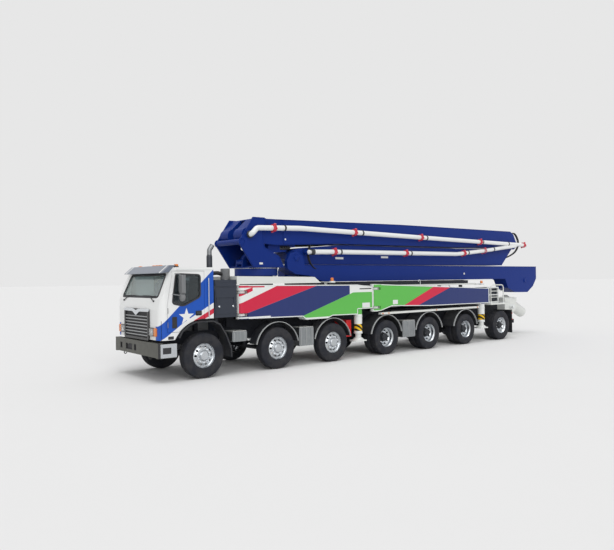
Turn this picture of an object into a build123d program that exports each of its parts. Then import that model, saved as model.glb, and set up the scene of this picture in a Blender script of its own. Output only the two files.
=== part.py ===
from build123d import *

import math
import os

# Truck-mounted concrete pump on seven axles, parked with its boom folded and its legs up.
# Millimetres. Y is measured from the first axle, rearwards positive; +X is the truck's left
# side and Z is up from the ground. ORIGIN_Y, the middle of the overall length, is taken off
# every Y when a node is written, so the written origin is the bottom centre of the whole truck.

# Overall driving sizes
BUMPER_FRONT = -1160.0
BOOM_REAR = 15880.0
ORIGIN_Y = (BUMPER_FRONT + BOOM_REAR) / 2
HALF_WIDTH = 1250.0
AXLE_Y = (0.0, 2141.0, 4040.0, 6208.0, 8193.0, 10140.0, 12303.0)

# Clearances
RUN_GAP = 0.3
PIN_GAP = 0.25
MOVE_GAP = 12.0
SEAT_GAP = 0.3

# Tyres and rims
STEER_TYRE_R = 532.0
DRIVE_TYRE_R = 518.0
TAG_TYRE_R = 526.0
STEER_TYRE_W = 298.0
DRIVE_TYRE_W = 262.0
TAG_TYRE_W = 440.0
TWIN_GAP = 22.0
BEAD_R = 286.0
FLANGE_R = 303.0
FLANGE_W = 12.0
BEAD_INSET = 36.0
DISC_T = 26.0
HUB_R = 112.0
SPINDLE_R = 45.0
HAND_HOLES = 10
HAND_HOLE_R = 28.0
HAND_HOLE_PITCH_R = 205.0

# Steering
KINGPIN_X = HALF_WIDTH - 382.0
KINGPIN_R = 26.0
EYE_R = 56.0
EYE_H = 130.0
EAR_T = 34.0

# Chassis
RAIL_OUT = 520.0
RAIL_W = 90.0
RAIL_BOTTOM = 770.0
RAIL_TOP = 1060.0
FRAME_FRONT = -1040.0
FRAME_REAR = 13150.0
CROSS_T = 70.0
BEAM_T = 100.0
DRIVE_TUBE_R = 78.0
BANJO_R = 215.0
SPRING_W = 88.0
ENGINE_TOP = 1340.0

# Cab
CAB_FRONT = -1105.0
CAB_REAR = 257.0
CAB_HALF = 1235.0
CAB_SKIN = 46.0
CAB_TOP = 2600.0
CAB_LOW = 955.0
CAB_FLOOR = 1395.0
CAB_CORNER = 170.0
BELT_Y = CAB_FRONT + 40.0
BELT_Z = 1880.0
ARCH_R = 862.0
FLARE_T = 34.0
ARCH_IN_R = 670.0
ARCH_T = 10.0
DOOR_FRONT = -925.0
DOOR_REAR = 5.0
DOOR_TOP = 2508.0
BROW_Y = -800.0
BROW_Z = DOOR_TOP - 20.0
DOOR_LOW = 1130.0
DOOR_T = 44.0
DOOR_GAP = 8.0
DOOR_AXIS = (CAB_HALF + 17, DOOR_FRONT - DOOR_GAP / 2)
DOOR_HINGE_Z = (1300.0, 1620.0)
HINGE_R = 14.0
HINGE_H = 60.0
GLASS_T = 6.0
SCREEN_HALF = CAB_HALF - 225.0
SCREEN_TAPER = 45.0
SCREEN_LOW = 1925.0
SCREEN_HIGH = 2440.0
SCREEN_SINK = 16.0
REAR_WINDOW_HALF = CAB_HALF - 535.0
SEAT_X = CAB_HALF - 675.0

# Superstructure
DECK_TOP = 2100.0
SIDE_BOX_IN = 960.0
PEDESTAL_Y = 2320.0
PEDESTAL_R = 590.0
PEDESTAL_TOP = 2590.0
FLANGE_T = 185.0
ARM_W = 270.0
ARM_IN = HALF_WIDTH - ARM_W
ARM_MID = (ARM_IN + HALF_WIDTH) / 2
ARM_HALF = ARM_W / 2

# Boom
LIFT_Y = 1700.0
LIFT_Z = 3480.0
LIFT_PIN_R = 70.0
HEAD_HALF = 600.0
HEAD_PLATE = 42.0
ROOT_HALF = 505.0
PIPE_R = 72.0
COUPLING_R = 96.0


def slab(points, x_low, x_high, corner=0.0):
    """A side-view outline carried along X from x_low to x_high, corners rounded by corner."""
    face = make_face(Polyline(*points, close=True))
    if corner:
        face = fillet(face.vertices(), corner)
    return extrude(Plane.YZ.offset(x_low) * face, x_high - x_low)


def block(x_low, x_high, y_low, y_high, z_low, z_high):
    """An upright box between two corners."""
    middle = Vector((x_low + x_high) / 2, (y_low + y_high) / 2, (z_low + z_high) / 2)
    return Pos(middle) * Box(x_high - x_low, y_high - y_low, z_high - z_low)


def rod_x(radius, x_low, x_high, y, z):
    """A round bar along X."""
    bar = Cylinder(radius, x_high - x_low, rotation=(0, 90, 0))
    return Pos((x_low + x_high) / 2, y, z) * bar


def rod_z(radius, z_low, z_high, x, y):
    """A round bar along Z."""
    return Pos(x, y, (z_low + z_high) / 2) * Cylinder(radius, z_high - z_low)


def rod_y(radius, y_low, y_high, x, z):
    """A round bar along Y."""
    bar = Cylinder(radius, y_high - y_low, rotation=(90, 0, 0))
    return Pos(x, (y_low + y_high) / 2, z) * bar


def ring_x(outer, inner, x_low, x_high, y, z):
    """A round tube along X."""
    return rod_x(outer, x_low, x_high, y, z) - rod_x(inner, x_low - 1, x_high + 1, y, z)


def ring_y(outer, inner, y_low, y_high, x, z):
    """A round tube along Y."""
    return rod_y(outer, y_low, y_high, x, z) - rod_y(inner, y_low - 1, y_high + 1, x, z)


def bar_between(start, end, radius):
    """A round bar between two points."""
    path = Line(start, end)
    section = Plane(origin=start, z_dir=Vector(*end) - Vector(*start)) * Circle(radius)
    return sweep(section, path=path)


def tube_along(points, radius, bend):
    """A round tube along straight runs joined by arcs of radius bend."""
    path = FilletPolyline(*points, radius=bend)
    start = path @ 0
    section = Plane(origin=start, z_dir=path % 0) * Circle(radius)
    return sweep(section, path=path)


def mirrored(shape):
    """The same shape on the truck's other side."""
    return mirror(shape, about=Plane.YZ)


def both_sides(shape):
    """A left-hand shape and its mirror image as one list."""
    return [shape, mirrored(shape)]


def fused(shapes):
    """All shapes as one body."""
    total = shapes[0]
    for shape in shapes[1:]:
        total = total + shape
    return total


NODES = {}


def keep(name, *shapes):
    """Takes a node's solids, to be written at the end."""
    solids = []
    for shape in shapes:
        solids.extend(shape.solids())
    NODES[name] = Compound(children=[Pos(0, -ORIGIN_Y, 0) * solid for solid in solids])


# Wheels


def tyre(radius, width, x_in, y):
    """A tyre from a revolved section: flat tread, round shoulders, bulging walls, upright beads."""
    half = width / 2
    bead_half = half - BEAD_INSET
    wide_z = BEAD_R + (radius - BEAD_R) * 0.52
    edges = [Line((-half * 0.80, radius), (half * 0.80, radius))]
    for side in (1, -1):
        crown = (side * half * 0.80, radius)
        wide = (side * half, wide_z)
        lip = (side * bead_half, FLANGE_R + 4)
        foot = (side * bead_half, BEAD_R)
        edges.append(ThreePointArc(crown, (side * (half - 8), radius - 26), wide))
        edges.append(ThreePointArc(wide, (side * (half - 8), (wide_z + FLANGE_R) / 2 - 8), lip))
        edges.append(Line(lip, foot))
    edges.append(Line((bead_half, BEAD_R), (-bead_half, BEAD_R)))
    ring = revolve(Plane.XZ * make_face(Wire(edges)), Axis.X)
    return Pos(x_in + half, y, radius) * ring


def rim(x_low, x_high, disc_x, bulge, y, z):
    """A rim barrel with flanges outside the beads, a dished disc and hand holes.

    disc_x is the disc's outer face at the barrel and bulge how far its middle stands out."""
    barrel = ring_x(BEAD_R - SEAT_GAP, BEAD_R - 14, x_low, x_high, y, z)
    for edge in (x_low - FLANGE_W, x_high):
        barrel = barrel + ring_x(FLANGE_R, BEAD_R - 14, edge, edge + FLANGE_W, y, z)
    inner_r = HAND_HOLE_PITCH_R - 50
    points = [
        (disc_x - DISC_T, BEAD_R - 13), (disc_x, BEAD_R - 13), (disc_x + bulge, inner_r),
        (disc_x + bulge, 0), (disc_x + bulge - DISC_T, 0), (disc_x + bulge - DISC_T, inner_r),
    ]
    disc = revolve(Plane.XZ * make_face(Polyline(*points, close=True)), Axis.X)
    reach = abs(bulge) + 3 * DISC_T
    for index in range(HAND_HOLES):
        angle = 2 * math.pi * index / HAND_HOLES
        hole_y = HAND_HOLE_PITCH_R * math.cos(angle)
        hole_z = HAND_HOLE_PITCH_R * math.sin(angle)
        disc = disc - rod_x(HAND_HOLE_R, disc_x - reach, disc_x + reach, hole_y, hole_z)
    return barrel + Pos(0, y, z) * disc


def single_wheel(radius, width, y, spindle_end, bulge):
    """A single tyre on a rim whose disc stands out to the outside, on the left side."""
    tyre_in = HALF_WIDTH - width
    rim_in = tyre_in + BEAD_INSET - SEAT_GAP
    rim_out = HALF_WIDTH - BEAD_INSET + SEAT_GAP
    disc_x = rim_out - 66
    face_x = disc_x + bulge
    wheel_rim = rim(rim_in, rim_out, disc_x, bulge, y, radius)
    hub = rod_x(HUB_R, spindle_end - 130, face_x + 46, y, radius)
    hub = hub - rod_x(SPINDLE_R + PIN_GAP, spindle_end - 400, spindle_end + PIN_GAP, y, radius)
    return [tyre(radius, width, tyre_in, y), wheel_rim + hub]


def twin_wheel(radius, y, spindle_end):
    """Two tyres on rims whose discs meet between them, so the outer one is deeply dished."""
    width = DRIVE_TYRE_W
    outer_in = HALF_WIDTH - width
    inner_in = outer_in - TWIN_GAP - width
    rim_edge = BEAD_INSET - SEAT_GAP
    disc_x = outer_in + 100
    outer = rim(outer_in + rim_edge, HALF_WIDTH - rim_edge, disc_x, -62, y, radius)
    barrel_in, barrel_out = inner_in + rim_edge, outer_in + rim_edge
    inner = ring_x(BEAD_R - SEAT_GAP, BEAD_R - 14, barrel_in, barrel_out, y, radius)
    inner_out = inner_in + width - rim_edge
    for edge in (inner_in + rim_edge - FLANGE_W, inner_out):
        inner = inner + ring_x(FLANGE_R, BEAD_R - 14, edge, edge + FLANGE_W, y, radius)
    hub = rod_x(HUB_R, spindle_end - 160, disc_x + 40, y, radius)
    hub = hub - rod_x(SPINDLE_R + PIN_GAP, spindle_end - 400, spindle_end + PIN_GAP, y, radius)
    tyres = [tyre(radius, width, outer_in, y), tyre(radius, width, inner_in, y)]
    return tyres + [outer + inner + hub]


# name, tyre radius, style, steered
AXLES = (
    ("axle_1", STEER_TYRE_R, "single", True),
    ("axle_2", STEER_TYRE_R, "single", True),
    ("axle_3", STEER_TYRE_R, "single", False),
    ("axle_4", DRIVE_TYRE_R, "twin", False),
    ("axle_5", DRIVE_TYRE_R, "twin", False),
    ("axle_6", DRIVE_TYRE_R, "twin", False),
    ("axle_7", TAG_TYRE_R, "wide", False),
)
SPINDLE_INSET = {"single": 100.0, "twin": 270.0, "wide": 200.0}
SHOULDER_BACK = {"single": 250.0, "twin": 340.0, "wide": 290.0}
SPINDLE_END = {style: HALF_WIDTH - inset for style, inset in SPINDLE_INSET.items()}


def axle_wheel(index):
    """The left-hand wheel of one axle."""
    name, radius, style, steered = AXLES[index]
    if style == "twin":
        return twin_wheel(radius, AXLE_Y[index], SPINDLE_END[style])
    width, bulge = (STEER_TYRE_W, 50) if style == "single" else (TAG_TYRE_W, -70)
    return single_wheel(radius, width, AXLE_Y[index], SPINDLE_END[style], bulge)


for axle_index, axle_row in enumerate(AXLES):
    left_wheel = axle_wheel(axle_index)
    keep(f"wheel_{axle_index + 1}_left", *left_wheel)
    keep(f"wheel_{axle_index + 1}_right", *[mirrored(piece) for piece in left_wheel])


# Knuckles and axle beams


def knuckle(index):
    """A steering knuckle: two ears and a kingpin round the beam's eye, and the wheel spindle."""
    radius = AXLES[index][1]
    y = AXLE_Y[index]
    half = EYE_H / 2
    parts = [rod_z(KINGPIN_R, radius - half - EAR_T, radius + half + EAR_T, KINGPIN_X, y)]
    for side in (-1, 1):
        low = radius + side * (half + RUN_GAP)
        high = low + side * EAR_T
        low, high = min(low, high), max(low, high)
        parts.append(rod_z(EYE_R, low, high, KINGPIN_X, y))
        parts.append(block(KINGPIN_X, KINGPIN_X + 100, y - EYE_R, y + EYE_R, low, high))
    neck_in = KINGPIN_X + EYE_R + 8
    neck_low, neck_high = radius - half - 20, radius + half + 20
    parts.append(block(neck_in, KINGPIN_X + 100, y - EYE_R, y + EYE_R, neck_low, neck_high))
    end = SPINDLE_END["single"]
    parts.append(rod_x(SPINDLE_R, neck_in + 10, end, y, radius))
    return fused(parts)


for axle_index in (0, 1):
    left_knuckle = knuckle(axle_index)
    keep(f"knuckle_{axle_index + 1}_left", left_knuckle)
    keep(f"knuckle_{axle_index + 1}_right", mirrored(left_knuckle))


def steer_beam(index):
    """A dropped beam with a bored eye at each end for the kingpin."""
    radius = AXLES[index][1]
    y = AXLE_Y[index]
    half = BEAM_T / 2
    beam = block(-600, 600, y - half, y + half, radius - 100, radius - 10)
    for side in (-1, 1):
        rise = [
            (side * 590, radius - 100), (side * KINGPIN_X, radius - 45),
            (side * KINGPIN_X, radius + 45), (side * 590, radius - 10),
        ]
        face = Plane.XZ.offset(-(y + half)) * make_face(Polyline(*rise, close=True))
        beam = beam + extrude(face, BEAM_T)
        beam = beam + rod_z(EYE_R, radius - EYE_H / 2, radius + EYE_H / 2, side * KINGPIN_X, y)
        beam = beam - rod_z(KINGPIN_R + PIN_GAP, radius - EYE_H, radius + EYE_H, side * KINGPIN_X, y)
    return beam


def fixed_axle(index):
    """A round axle tube that ends in the wheels' spindles; the driven ones carry a banjo."""
    name, radius, style, steered = AXLES[index]
    y = AXLE_Y[index]
    end = SPINDLE_END[style]
    shoulder = end - SHOULDER_BACK[style]
    tube = rod_x(DRIVE_TUBE_R, -shoulder, shoulder, y, radius)
    tube = tube + rod_x(SPINDLE_R, -end, end, y, radius)
    if style == "twin":
        tube = tube + rod_y(BANJO_R, y - 110, y + 130, 0, radius)
        tube = tube + rod_y(70, y - 330, y - 100, 0, radius)
    return tube


def leaf_spring(index):
    """A leaf pack over its axle, hung from the rail by a bracket at each end."""
    name, radius, style, steered = AXLES[index]
    y = AXLE_Y[index]
    seat = radius - 10 if steered else radius + DRIVE_TUBE_R
    x = RAIL_OUT - RAIL_W / 2
    reach = 560.0
    eye_z = seat + 95
    middle = seat + 24
    outline = [
        (y - reach, eye_z), (y - 90, middle + 26), (y + 90, middle + 26), (y + reach, eye_z),
        (y + reach, eye_z - 24), (y + 90, seat - 20), (y - 90, seat - 20), (y - reach, eye_z - 24),
    ]
    spring = slab(outline, x - SPRING_W / 2, x + SPRING_W / 2)
    for side in (-1, 1):
        end_y = y + side * (reach - 30)
        hanger_top = RAIL_BOTTOM - SEAT_GAP
        spring = spring + block(x - 30, x + 30, end_y - 30, end_y + 30, eye_z - 20, hanger_top)
    return spring


axles = []
for axle_index, axle_row in enumerate(AXLES):
    axle = steer_beam(axle_index) if axle_row[3] else fixed_axle(axle_index)
    axles.append(fused([axle] + both_sides(leaf_spring(axle_index))))
keep("axles_and_springs", *axles)


# Chassis frame

CROSS_Y = (-900.0, 800.0, 2335.0, 3870.0, 5405.0, 6940.0, 8475.0, 10010.0, 11545.0, 13080.0)
RAIL_WALL = 12.0
REAR_BAR_HALF = HALF_WIDTH - 105.0


def rail():
    """The left frame rail, a channel open towards the middle."""
    web = block(RAIL_OUT - RAIL_W, RAIL_OUT, FRAME_FRONT, FRAME_REAR, RAIL_BOTTOM, RAIL_TOP)
    low, high = RAIL_BOTTOM + RAIL_WALL, RAIL_TOP - RAIL_WALL
    inside = RAIL_OUT - RAIL_WALL
    return web - block(RAIL_OUT - RAIL_W - 1, inside, FRAME_FRONT - 1, FRAME_REAR + 1, low, high)


frame_parts = both_sides(rail())
for cross_y in CROSS_Y:
    inside = RAIL_OUT - RAIL_WALL
    low, high = RAIL_BOTTOM + RAIL_WALL, RAIL_TOP - RAIL_WALL
    half = CROSS_T / 2
    frame_parts.append(block(-inside, inside, cross_y - half, cross_y + half, low, high))
for mount_y in (-840.0, 170.0):
    mount_in, mount_top = RAIL_OUT - RAIL_W, CAB_FLOOR - SEAT_GAP
    mount = block(mount_in, RAIL_OUT, mount_y - 50, mount_y + 50, RAIL_TOP - 1, mount_top)
    frame_parts.extend(both_sides(mount))
frame_parts.append(block(-REAR_BAR_HALF, REAR_BAR_HALF, 13180, 13270, 560, 700))
hanger = block(RAIL_OUT - RAIL_W, RAIL_OUT, FRAME_REAR - 60, 13181, 600, RAIL_BOTTOM + 1)
frame_parts.extend(both_sides(hanger))
keep("chassis_frame", fused(frame_parts))

engine_rear = CROSS_Y[1] - CROSS_T / 2 - SEAT_GAP
keep("engine_block", block(-340, 340, -560, engine_rear, 620, ENGINE_TOP))


# Cab


def cab_outline(inset):
    """The cab's side outline, moved inwards by inset."""
    return [
        (CAB_FRONT + inset, CAB_LOW + inset), (CAB_FRONT + inset, 1640), (BELT_Y + inset, BELT_Z),
        (BROW_Y + inset, BROW_Z), (BROW_Y + 100 + inset, CAB_TOP - inset),
        (CAB_REAR - inset, CAB_TOP - inset), (CAB_REAR - inset, CAB_LOW + inset),
    ]


def rounded_cab(inset):
    """The cab form cut by a rounded plan outline, so its front corners are round."""
    half = CAB_HALF - inset
    body = slab(cab_outline(inset), -half, half)
    plan = Rectangle(2 * half, 3000)
    plan = fillet(plan.vertices().sort_by(Axis.Y)[:2], CAB_CORNER - inset)
    return body & extrude(Pos(0, CAB_FRONT + inset + 1500) * plan, 3000)


def screen_y(z):
    """Where the windscreen's outer face stands at one height on the leaning front."""
    return BELT_Y + (z - BELT_Z) / (BROW_Z - BELT_Z) * (BROW_Y - BELT_Y) + SCREEN_SINK


def screen_outline(shrink):
    """The windscreen's corners in the front view, moved inwards by shrink."""
    low, high = SCREEN_LOW + shrink, SCREEN_HIGH - shrink
    low_x, high_x = SCREEN_HALF - shrink, SCREEN_HALF - SCREEN_TAPER - shrink
    return [(-low_x, low), (low_x, low), (high_x, high), (-high_x, high)]


def side_window_outline():
    """The door window's corners in the side view."""
    return [(-715, 2450), (-805, 1775), (-530, 1715), (-95, 1915), (-95, 2425)]


def door_outline(grow):
    """The door's edge in the side view, moved outwards by grow."""
    return [
        (DOOR_FRONT - grow, DOOR_LOW - grow), (DOOR_FRONT - grow, 1760), (-790 - grow, DOOR_TOP + grow),
        (DOOR_REAR + grow, DOOR_TOP + grow), (DOOR_REAR + grow, DOOR_LOW - grow),
    ]


wheel_cut = rod_x(ARCH_R, -CAB_HALF - 10, CAB_HALF + 10, 0, STEER_TYRE_R)
cab_outer = rounded_cab(0)
cab_inner = rounded_cab(CAB_SKIN)
inner_top = block(-CAB_HALF, CAB_HALF, CAB_FRONT, CAB_REAR, CAB_FLOOR + CAB_SKIN, CAB_TOP)
nose_half = CAB_HALF - CAB_SKIN
nose_room = block(-nose_half, nose_half, CAB_FRONT + CAB_SKIN, CAB_REAR + 5, 0, CAB_FLOOR)
cab = cab_outer - (cab_inner & inner_top) - (cab_inner & nose_room) - nose_room
cab = cab - block(-CAB_HALF - 9, CAB_HALF + 9, -560, CAB_REAR + 9, 0, CAB_FLOOR)
cab = cab - wheel_cut
for side in (-1, 1):
    low, high = sorted((side * (CAB_HALF - DOOR_T - 40), side * (CAB_HALF + 20)))
    cab = cab - slab(door_outline(DOOR_GAP), low, high)
screen_face = make_face(Polyline(*screen_outline(0), close=True))
cab = cab - extrude(Plane.XZ.offset(1300) * screen_face, -750)
cab = cab - block(-REAR_WINDOW_HALF, REAR_WINDOW_HALF, CAB_REAR - 100, CAB_REAR + 20, 1950, 2400)
for side in (-1, 1):
    for hinge_z in DOOR_HINGE_Z:
        cab = cab + rod_z(HINGE_R, hinge_z - HINGE_H, hinge_z, side * DOOR_AXIS[0], DOOR_AXIS[1])
        low, high = sorted((side * (CAB_HALF - 8), side * DOOR_AXIS[0]))
        cab = cab + block(low, high, DOOR_AXIS[1] - 34, DOOR_AXIS[1] - 4, hinge_z - HINGE_H, hinge_z)
keep("cab_shell", cab)

low_y, high_y = screen_y(SCREEN_LOW), screen_y(SCREEN_HIGH)
glass_profile = [
    (low_y, SCREEN_LOW), (high_y, SCREEN_HIGH),
    (high_y + GLASS_T, SCREEN_HIGH), (low_y + GLASS_T, SCREEN_LOW),
]
glass_face = make_face(Polyline(*screen_outline(SEAT_GAP), close=True))
screen = slab(glass_profile, -SCREEN_HALF, SCREEN_HALF) & extrude(Plane.XZ.offset(1300) * glass_face, -900)
glass_half = REAR_WINDOW_HALF - SEAT_GAP
glass_y = CAB_REAR - 30
rear_glass = block(-glass_half, glass_half, glass_y, glass_y + GLASS_T, 1950 + SEAT_GAP, 2400 - SEAT_GAP)
keep("cab_glass", screen, rear_glass)


def door_left():
    """The left door: a pan as thick as the side, its window cut out, its foot cut round the arch."""
    panel = slab(door_outline(0), CAB_HALF - DOOR_T, CAB_HALF)
    cut_in, cut_out = CAB_HALF - 300, CAB_HALF + 100
    panel = panel - rod_x(ARCH_R + DOOR_GAP, cut_in, cut_out, 0, STEER_TYRE_R)
    panel = panel - slab(side_window_outline(), cut_in, cut_out, corner=45)
    hinges = []
    for hinge_z in DOOR_HINGE_Z:
        low, high = hinge_z + RUN_GAP, hinge_z + RUN_GAP + HINGE_H
        hinges.append(rod_z(HINGE_R, low, high, DOOR_AXIS[0], DOOR_AXIS[1]))
        leaf_y = DOOR_AXIS[1] + 5
        hinges.append(block(CAB_HALF - 8, DOOR_AXIS[0], leaf_y, leaf_y + 29, low, high))
    handle = block(CAB_HALF - 1, CAB_HALF + 26, -205, -85, 1500, 1575)
    arm_in, arm_out = CAB_HALF - 10, CAB_HALF + 150
    arm_top = tube_along([(arm_in, -760, 2450), (arm_out, -700, 2450), (arm_out, -640, 2380)], 11, 30)
    arm_low = tube_along([(arm_in, -840, 2000), (arm_out, -700, 1960), (arm_out, -640, 2010)], 11, 30)
    mirror_case = block(CAB_HALF + 62, CAB_HALF + 238, -650, -590, 2005, 2425)
    round_case = rod_y(92, -645, -600, CAB_HALF + 150, 1920)
    return fused([panel] + hinges + [handle, arm_top, arm_low, mirror_case, round_case])


left_door = door_left()
keep("door_left", left_door)
keep("door_right", mirrored(left_door))
pane = slab(side_window_outline(), CAB_HALF - 30, CAB_HALF - 30 + GLASS_T, corner=45)
keep("door_glass_left", pane)
keep("door_glass_right", mirrored(pane))

# Cab interior: bench of two seats, dash, column and wheel on the floor
floor_top = CAB_FLOOR + CAB_SKIN + SEAT_GAP
seat_parts = []
for seat_x in (-SEAT_X, SEAT_X):
    seat = block(seat_x - 235, seat_x + 235, -420, 60, floor_top, floor_top + 330)
    back_low, back_high = floor_top + 200, floor_top + 930
    back_outline = [(20, back_low), (150, back_low), (205, back_high), (120, back_high)]
    back = slab(back_outline, seat_x - 225, seat_x + 225)
    seat_parts.append(seat + back)
dash_outline = [(-1010, floor_top), (-760, floor_top), (-700, 1780), (-780, 1850), (-1010, 1850)]
DASH_HALF = CAB_HALF - 235.0
dash = slab(dash_outline, -DASH_HALF, DASH_HALF)
column = bar_between((SEAT_X, -800, 1780), (SEAT_X, -620, 1930), 28)
wheel_plane = Plane(origin=(SEAT_X, -615, 1935), z_dir=(0, 0.75, 0.66))
steering_wheel = wheel_plane * Torus(210, 15)
spokes = wheel_plane * Box(420, 40, 16)
steering = column + steering_wheel + spokes - Pos(0, SEAT_GAP, SEAT_GAP) * dash
keep("cab_interior", *seat_parts, dash, steering)


# Grille, lamps and bumper

grille_frame = block(-700, 700, CAB_FRONT - 45, CAB_FRONT - RUN_GAP, 930, 1655)
grille_frame = grille_frame - block(-628, 628, CAB_FRONT - 60, CAB_FRONT - 12, 985, 1560)
grille_parts = [grille_frame]
for bar_index in range(7):
    bar_z = 1035 + bar_index * 73
    grille_parts.append(block(-630, 630, CAB_FRONT - 38, CAB_FRONT - 8, bar_z - 14, bar_z + 14))
badge_face = make_face(Polyline((-180, 1565), (180, 1565), (0, 1490), close=True))
grille_parts.append(extrude(Plane.XZ.offset(45 - CAB_FRONT) * badge_face, -30))
keep("grille", fused(grille_parts))

LAMP_INSET = ((523.0, 300.0), (290.0, 175.0))
MARKER_X = CAB_HALF - 235.0
lamp_parts = []
for inner_inset, outer_inset in LAMP_INSET:
    lamp_in, lamp_out = CAB_HALF - inner_inset, CAB_HALF - outer_inset
    lamp = block(lamp_in, lamp_out, CAB_FRONT - 24, CAB_FRONT - RUN_GAP, 1045, 1225)
    lamp_parts.extend(both_sides(lamp))
for marker_x in (-MARKER_X, -180.0, 0.0, 180.0, MARKER_X):
    lamp_parts.append(block(marker_x - 55, marker_x + 55, -630, -540, CAB_TOP + SEAT_GAP, CAB_TOP + 48))
# Beacons on the two deck shelves, (y, the shelf's top)
BEACON_X = HALF_WIDTH - 100.0
BEACON_TABLE = ((4090.0, 2220.0), (11205.0, 2060.0))
for beacon_y, beacon_low in BEACON_TABLE:
    beacon_seat = beacon_low + SEAT_GAP
    lamp_parts.extend(both_sides(rod_z(48, beacon_seat, beacon_seat + 110, BEACON_X, beacon_y)))
keep("cab_lamps", *lamp_parts)

visor_outline = [(-985, 2475), (-780, 2650), (-640, 2650), (-640, 2637), (-775, 2637), (-965, 2468)]
VISOR_HALF = CAB_HALF - 155.0
visor = slab(visor_outline, -VISOR_HALF, VISOR_HALF)
for visor_x in (-500, 500):
    visor = visor + block(visor_x - 12, visor_x + 12, -700, -645, CAB_TOP + SEAT_GAP, 2645)
keep("sun_visor", visor)

bumper = block(-HALF_WIDTH + 20, HALF_WIDTH - 20, BUMPER_FRONT, BUMPER_FRONT + 120, 572, 900)
wrap = block(HALF_WIDTH - 130, HALF_WIDTH - 20, BUMPER_FRONT, -700, 560, 880)
bumper = bumper + wrap + mirrored(wrap)
shell_half = HALF_WIDTH - 70
bumper = bumper - block(-shell_half, shell_half, BUMPER_FRONT + 30, -600, 590, 881)
slot_table = ((-925, -800), (-590, -200), (-90, 40))
for slot_low, slot_high in slot_table:
    bumper = bumper - block(slot_low, slot_high, BUMPER_FRONT - 5, BUMPER_FRONT + 60, 650, 800)
for side in (-1, 1):
    low, high = sorted((side * (HALF_WIDTH - 60), side * (HALF_WIDTH + 5)))
    bumper = bumper - block(low, high, BUMPER_FRONT + 110, -830, 660, 800)
for side in (-1, 1):
    low, high = sorted((side * (RAIL_OUT - RAIL_W), side * RAIL_OUT))
    bracket_rear = FRAME_FRONT - RUN_GAP
    bumper = bumper + block(low, high, BUMPER_FRONT + 20, bracket_rear, RAIL_BOTTOM, 900)
keep("front_bumper", bumper)


# Mudguards: two wide black arches at the cab, then slim ones over the other wheels


def arch(y, z, inner, thick, x_low, x_high, start, end):
    """A curved band round a wheel from angle start to end, degrees from the rear up over."""
    outer_arc = CenterArc((y, z), inner + thick, start, end - start)
    inner_arc = CenterArc((y, z), inner, start, end - start)
    ends = [Line(outer_arc @ 1, inner_arc @ 1), Line(inner_arc @ 0, outer_arc @ 0)]
    face = make_face(Wire([outer_arc, ends[0], inner_arc, ends[1]]))
    return extrude(Plane.YZ.offset(x_low) * face, x_high - x_low)


# The cab's flare as (degrees from the rear up over, how far inside ARCH_R)
FLARE_TABLE = (
    (144.7, 77.9), (133.1, 42.7), (118.5, 44.9), (107.1, 45.9), (74.3, 47.7), (60.2, 57.5), (39.0, 141.7),
    (8.8, 153.7), (-7.4, 150.0),
)


def flare_points(grow):
    """The flare's edge in the side view, grow outside its inner one."""
    points = []
    for degrees, inset in FLARE_TABLE:
        radius = ARCH_R - inset + grow
        angle = math.radians(degrees)
        points.append((radius * math.cos(angle), STEER_TYRE_R + radius * math.sin(angle)))
    return points


GUARD_IN = HALF_WIDTH - 350.0
guards = []
front_guard = slab(flare_points(0) + flare_points(FLARE_T)[::-1], GUARD_IN, HALF_WIDTH + 20)
front_guard = front_guard + block(RAIL_OUT + SEAT_GAP, GUARD_IN + 2, 620, 665, 790, 830)
guards.extend(both_sides(front_guard))
for axle_index in range(1, 6):
    guard_z = AXLES[axle_index][1]
    guard_in = GUARD_IN if AXLES[axle_index][2] == "single" else HALF_WIDTH - 560
    guard_out = HALF_WIDTH - 6
    band = arch(AXLE_Y[axle_index], guard_z, ARCH_IN_R, ARCH_T, guard_in, guard_out, 12, 168)
    stay_z = guard_z + ARCH_IN_R
    stay_y = AXLE_Y[axle_index]
    stay_top = stay_z + ARCH_T - 1
    stay = block(RAIL_OUT + SEAT_GAP, guard_in + 1, stay_y - 25, stay_y + 25, stay_z - 8, stay_top)
    guards.extend(both_sides(band + stay))
FLAP_OUT = HALF_WIDTH - 14.0
flap = block(GUARD_IN, FLAP_OUT, 12990, 13004, 210, 1060)
flap_arm = block(RAIL_OUT + SEAT_GAP, FLAP_OUT, 12950, 12991, 1000, 1058)
guards.extend(both_sides(flap + flap_arm))
keep("mudguards", *guards)


# Boxes behind the cab and tanks between the axles

cabinet_box = (HALF_WIDTH - 490, HALF_WIDTH - 52, 285.0, 890.0, 1400.0, 2300.0)
cab_x0, cab_x1, cab_y0, cab_y1, cab_z0, cab_z1 = cabinet_box
cabinet = block(cab_x0, cab_x1, cab_y0, cab_y1, cab_z0, cab_z1)
CABINET_WALL = 25.0
room_y = (cab_y0 + CABINET_WALL, cab_y1 - CABINET_WALL)
room_z = (cab_z0 + CABINET_WALL, cab_z1 - CABINET_WALL)
cabinet = cabinet - block(cab_x0 + CABINET_WALL, cab_x1 + 1, *room_y, *room_z)
cabinet = cabinet + block(cab_x0 + 20, cab_x1 - 60, cab_y0 + 20, cab_y1 - 20, 1840, 1860)
cabinet = cabinet + block(RAIL_OUT - RAIL_W, cab_x0 + 1, 560, 640, RAIL_TOP + SEAT_GAP, cab_z0 + 40)
CABINET_AXIS = (HALF_WIDTH - 6, cab_y0 - 13)
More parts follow.
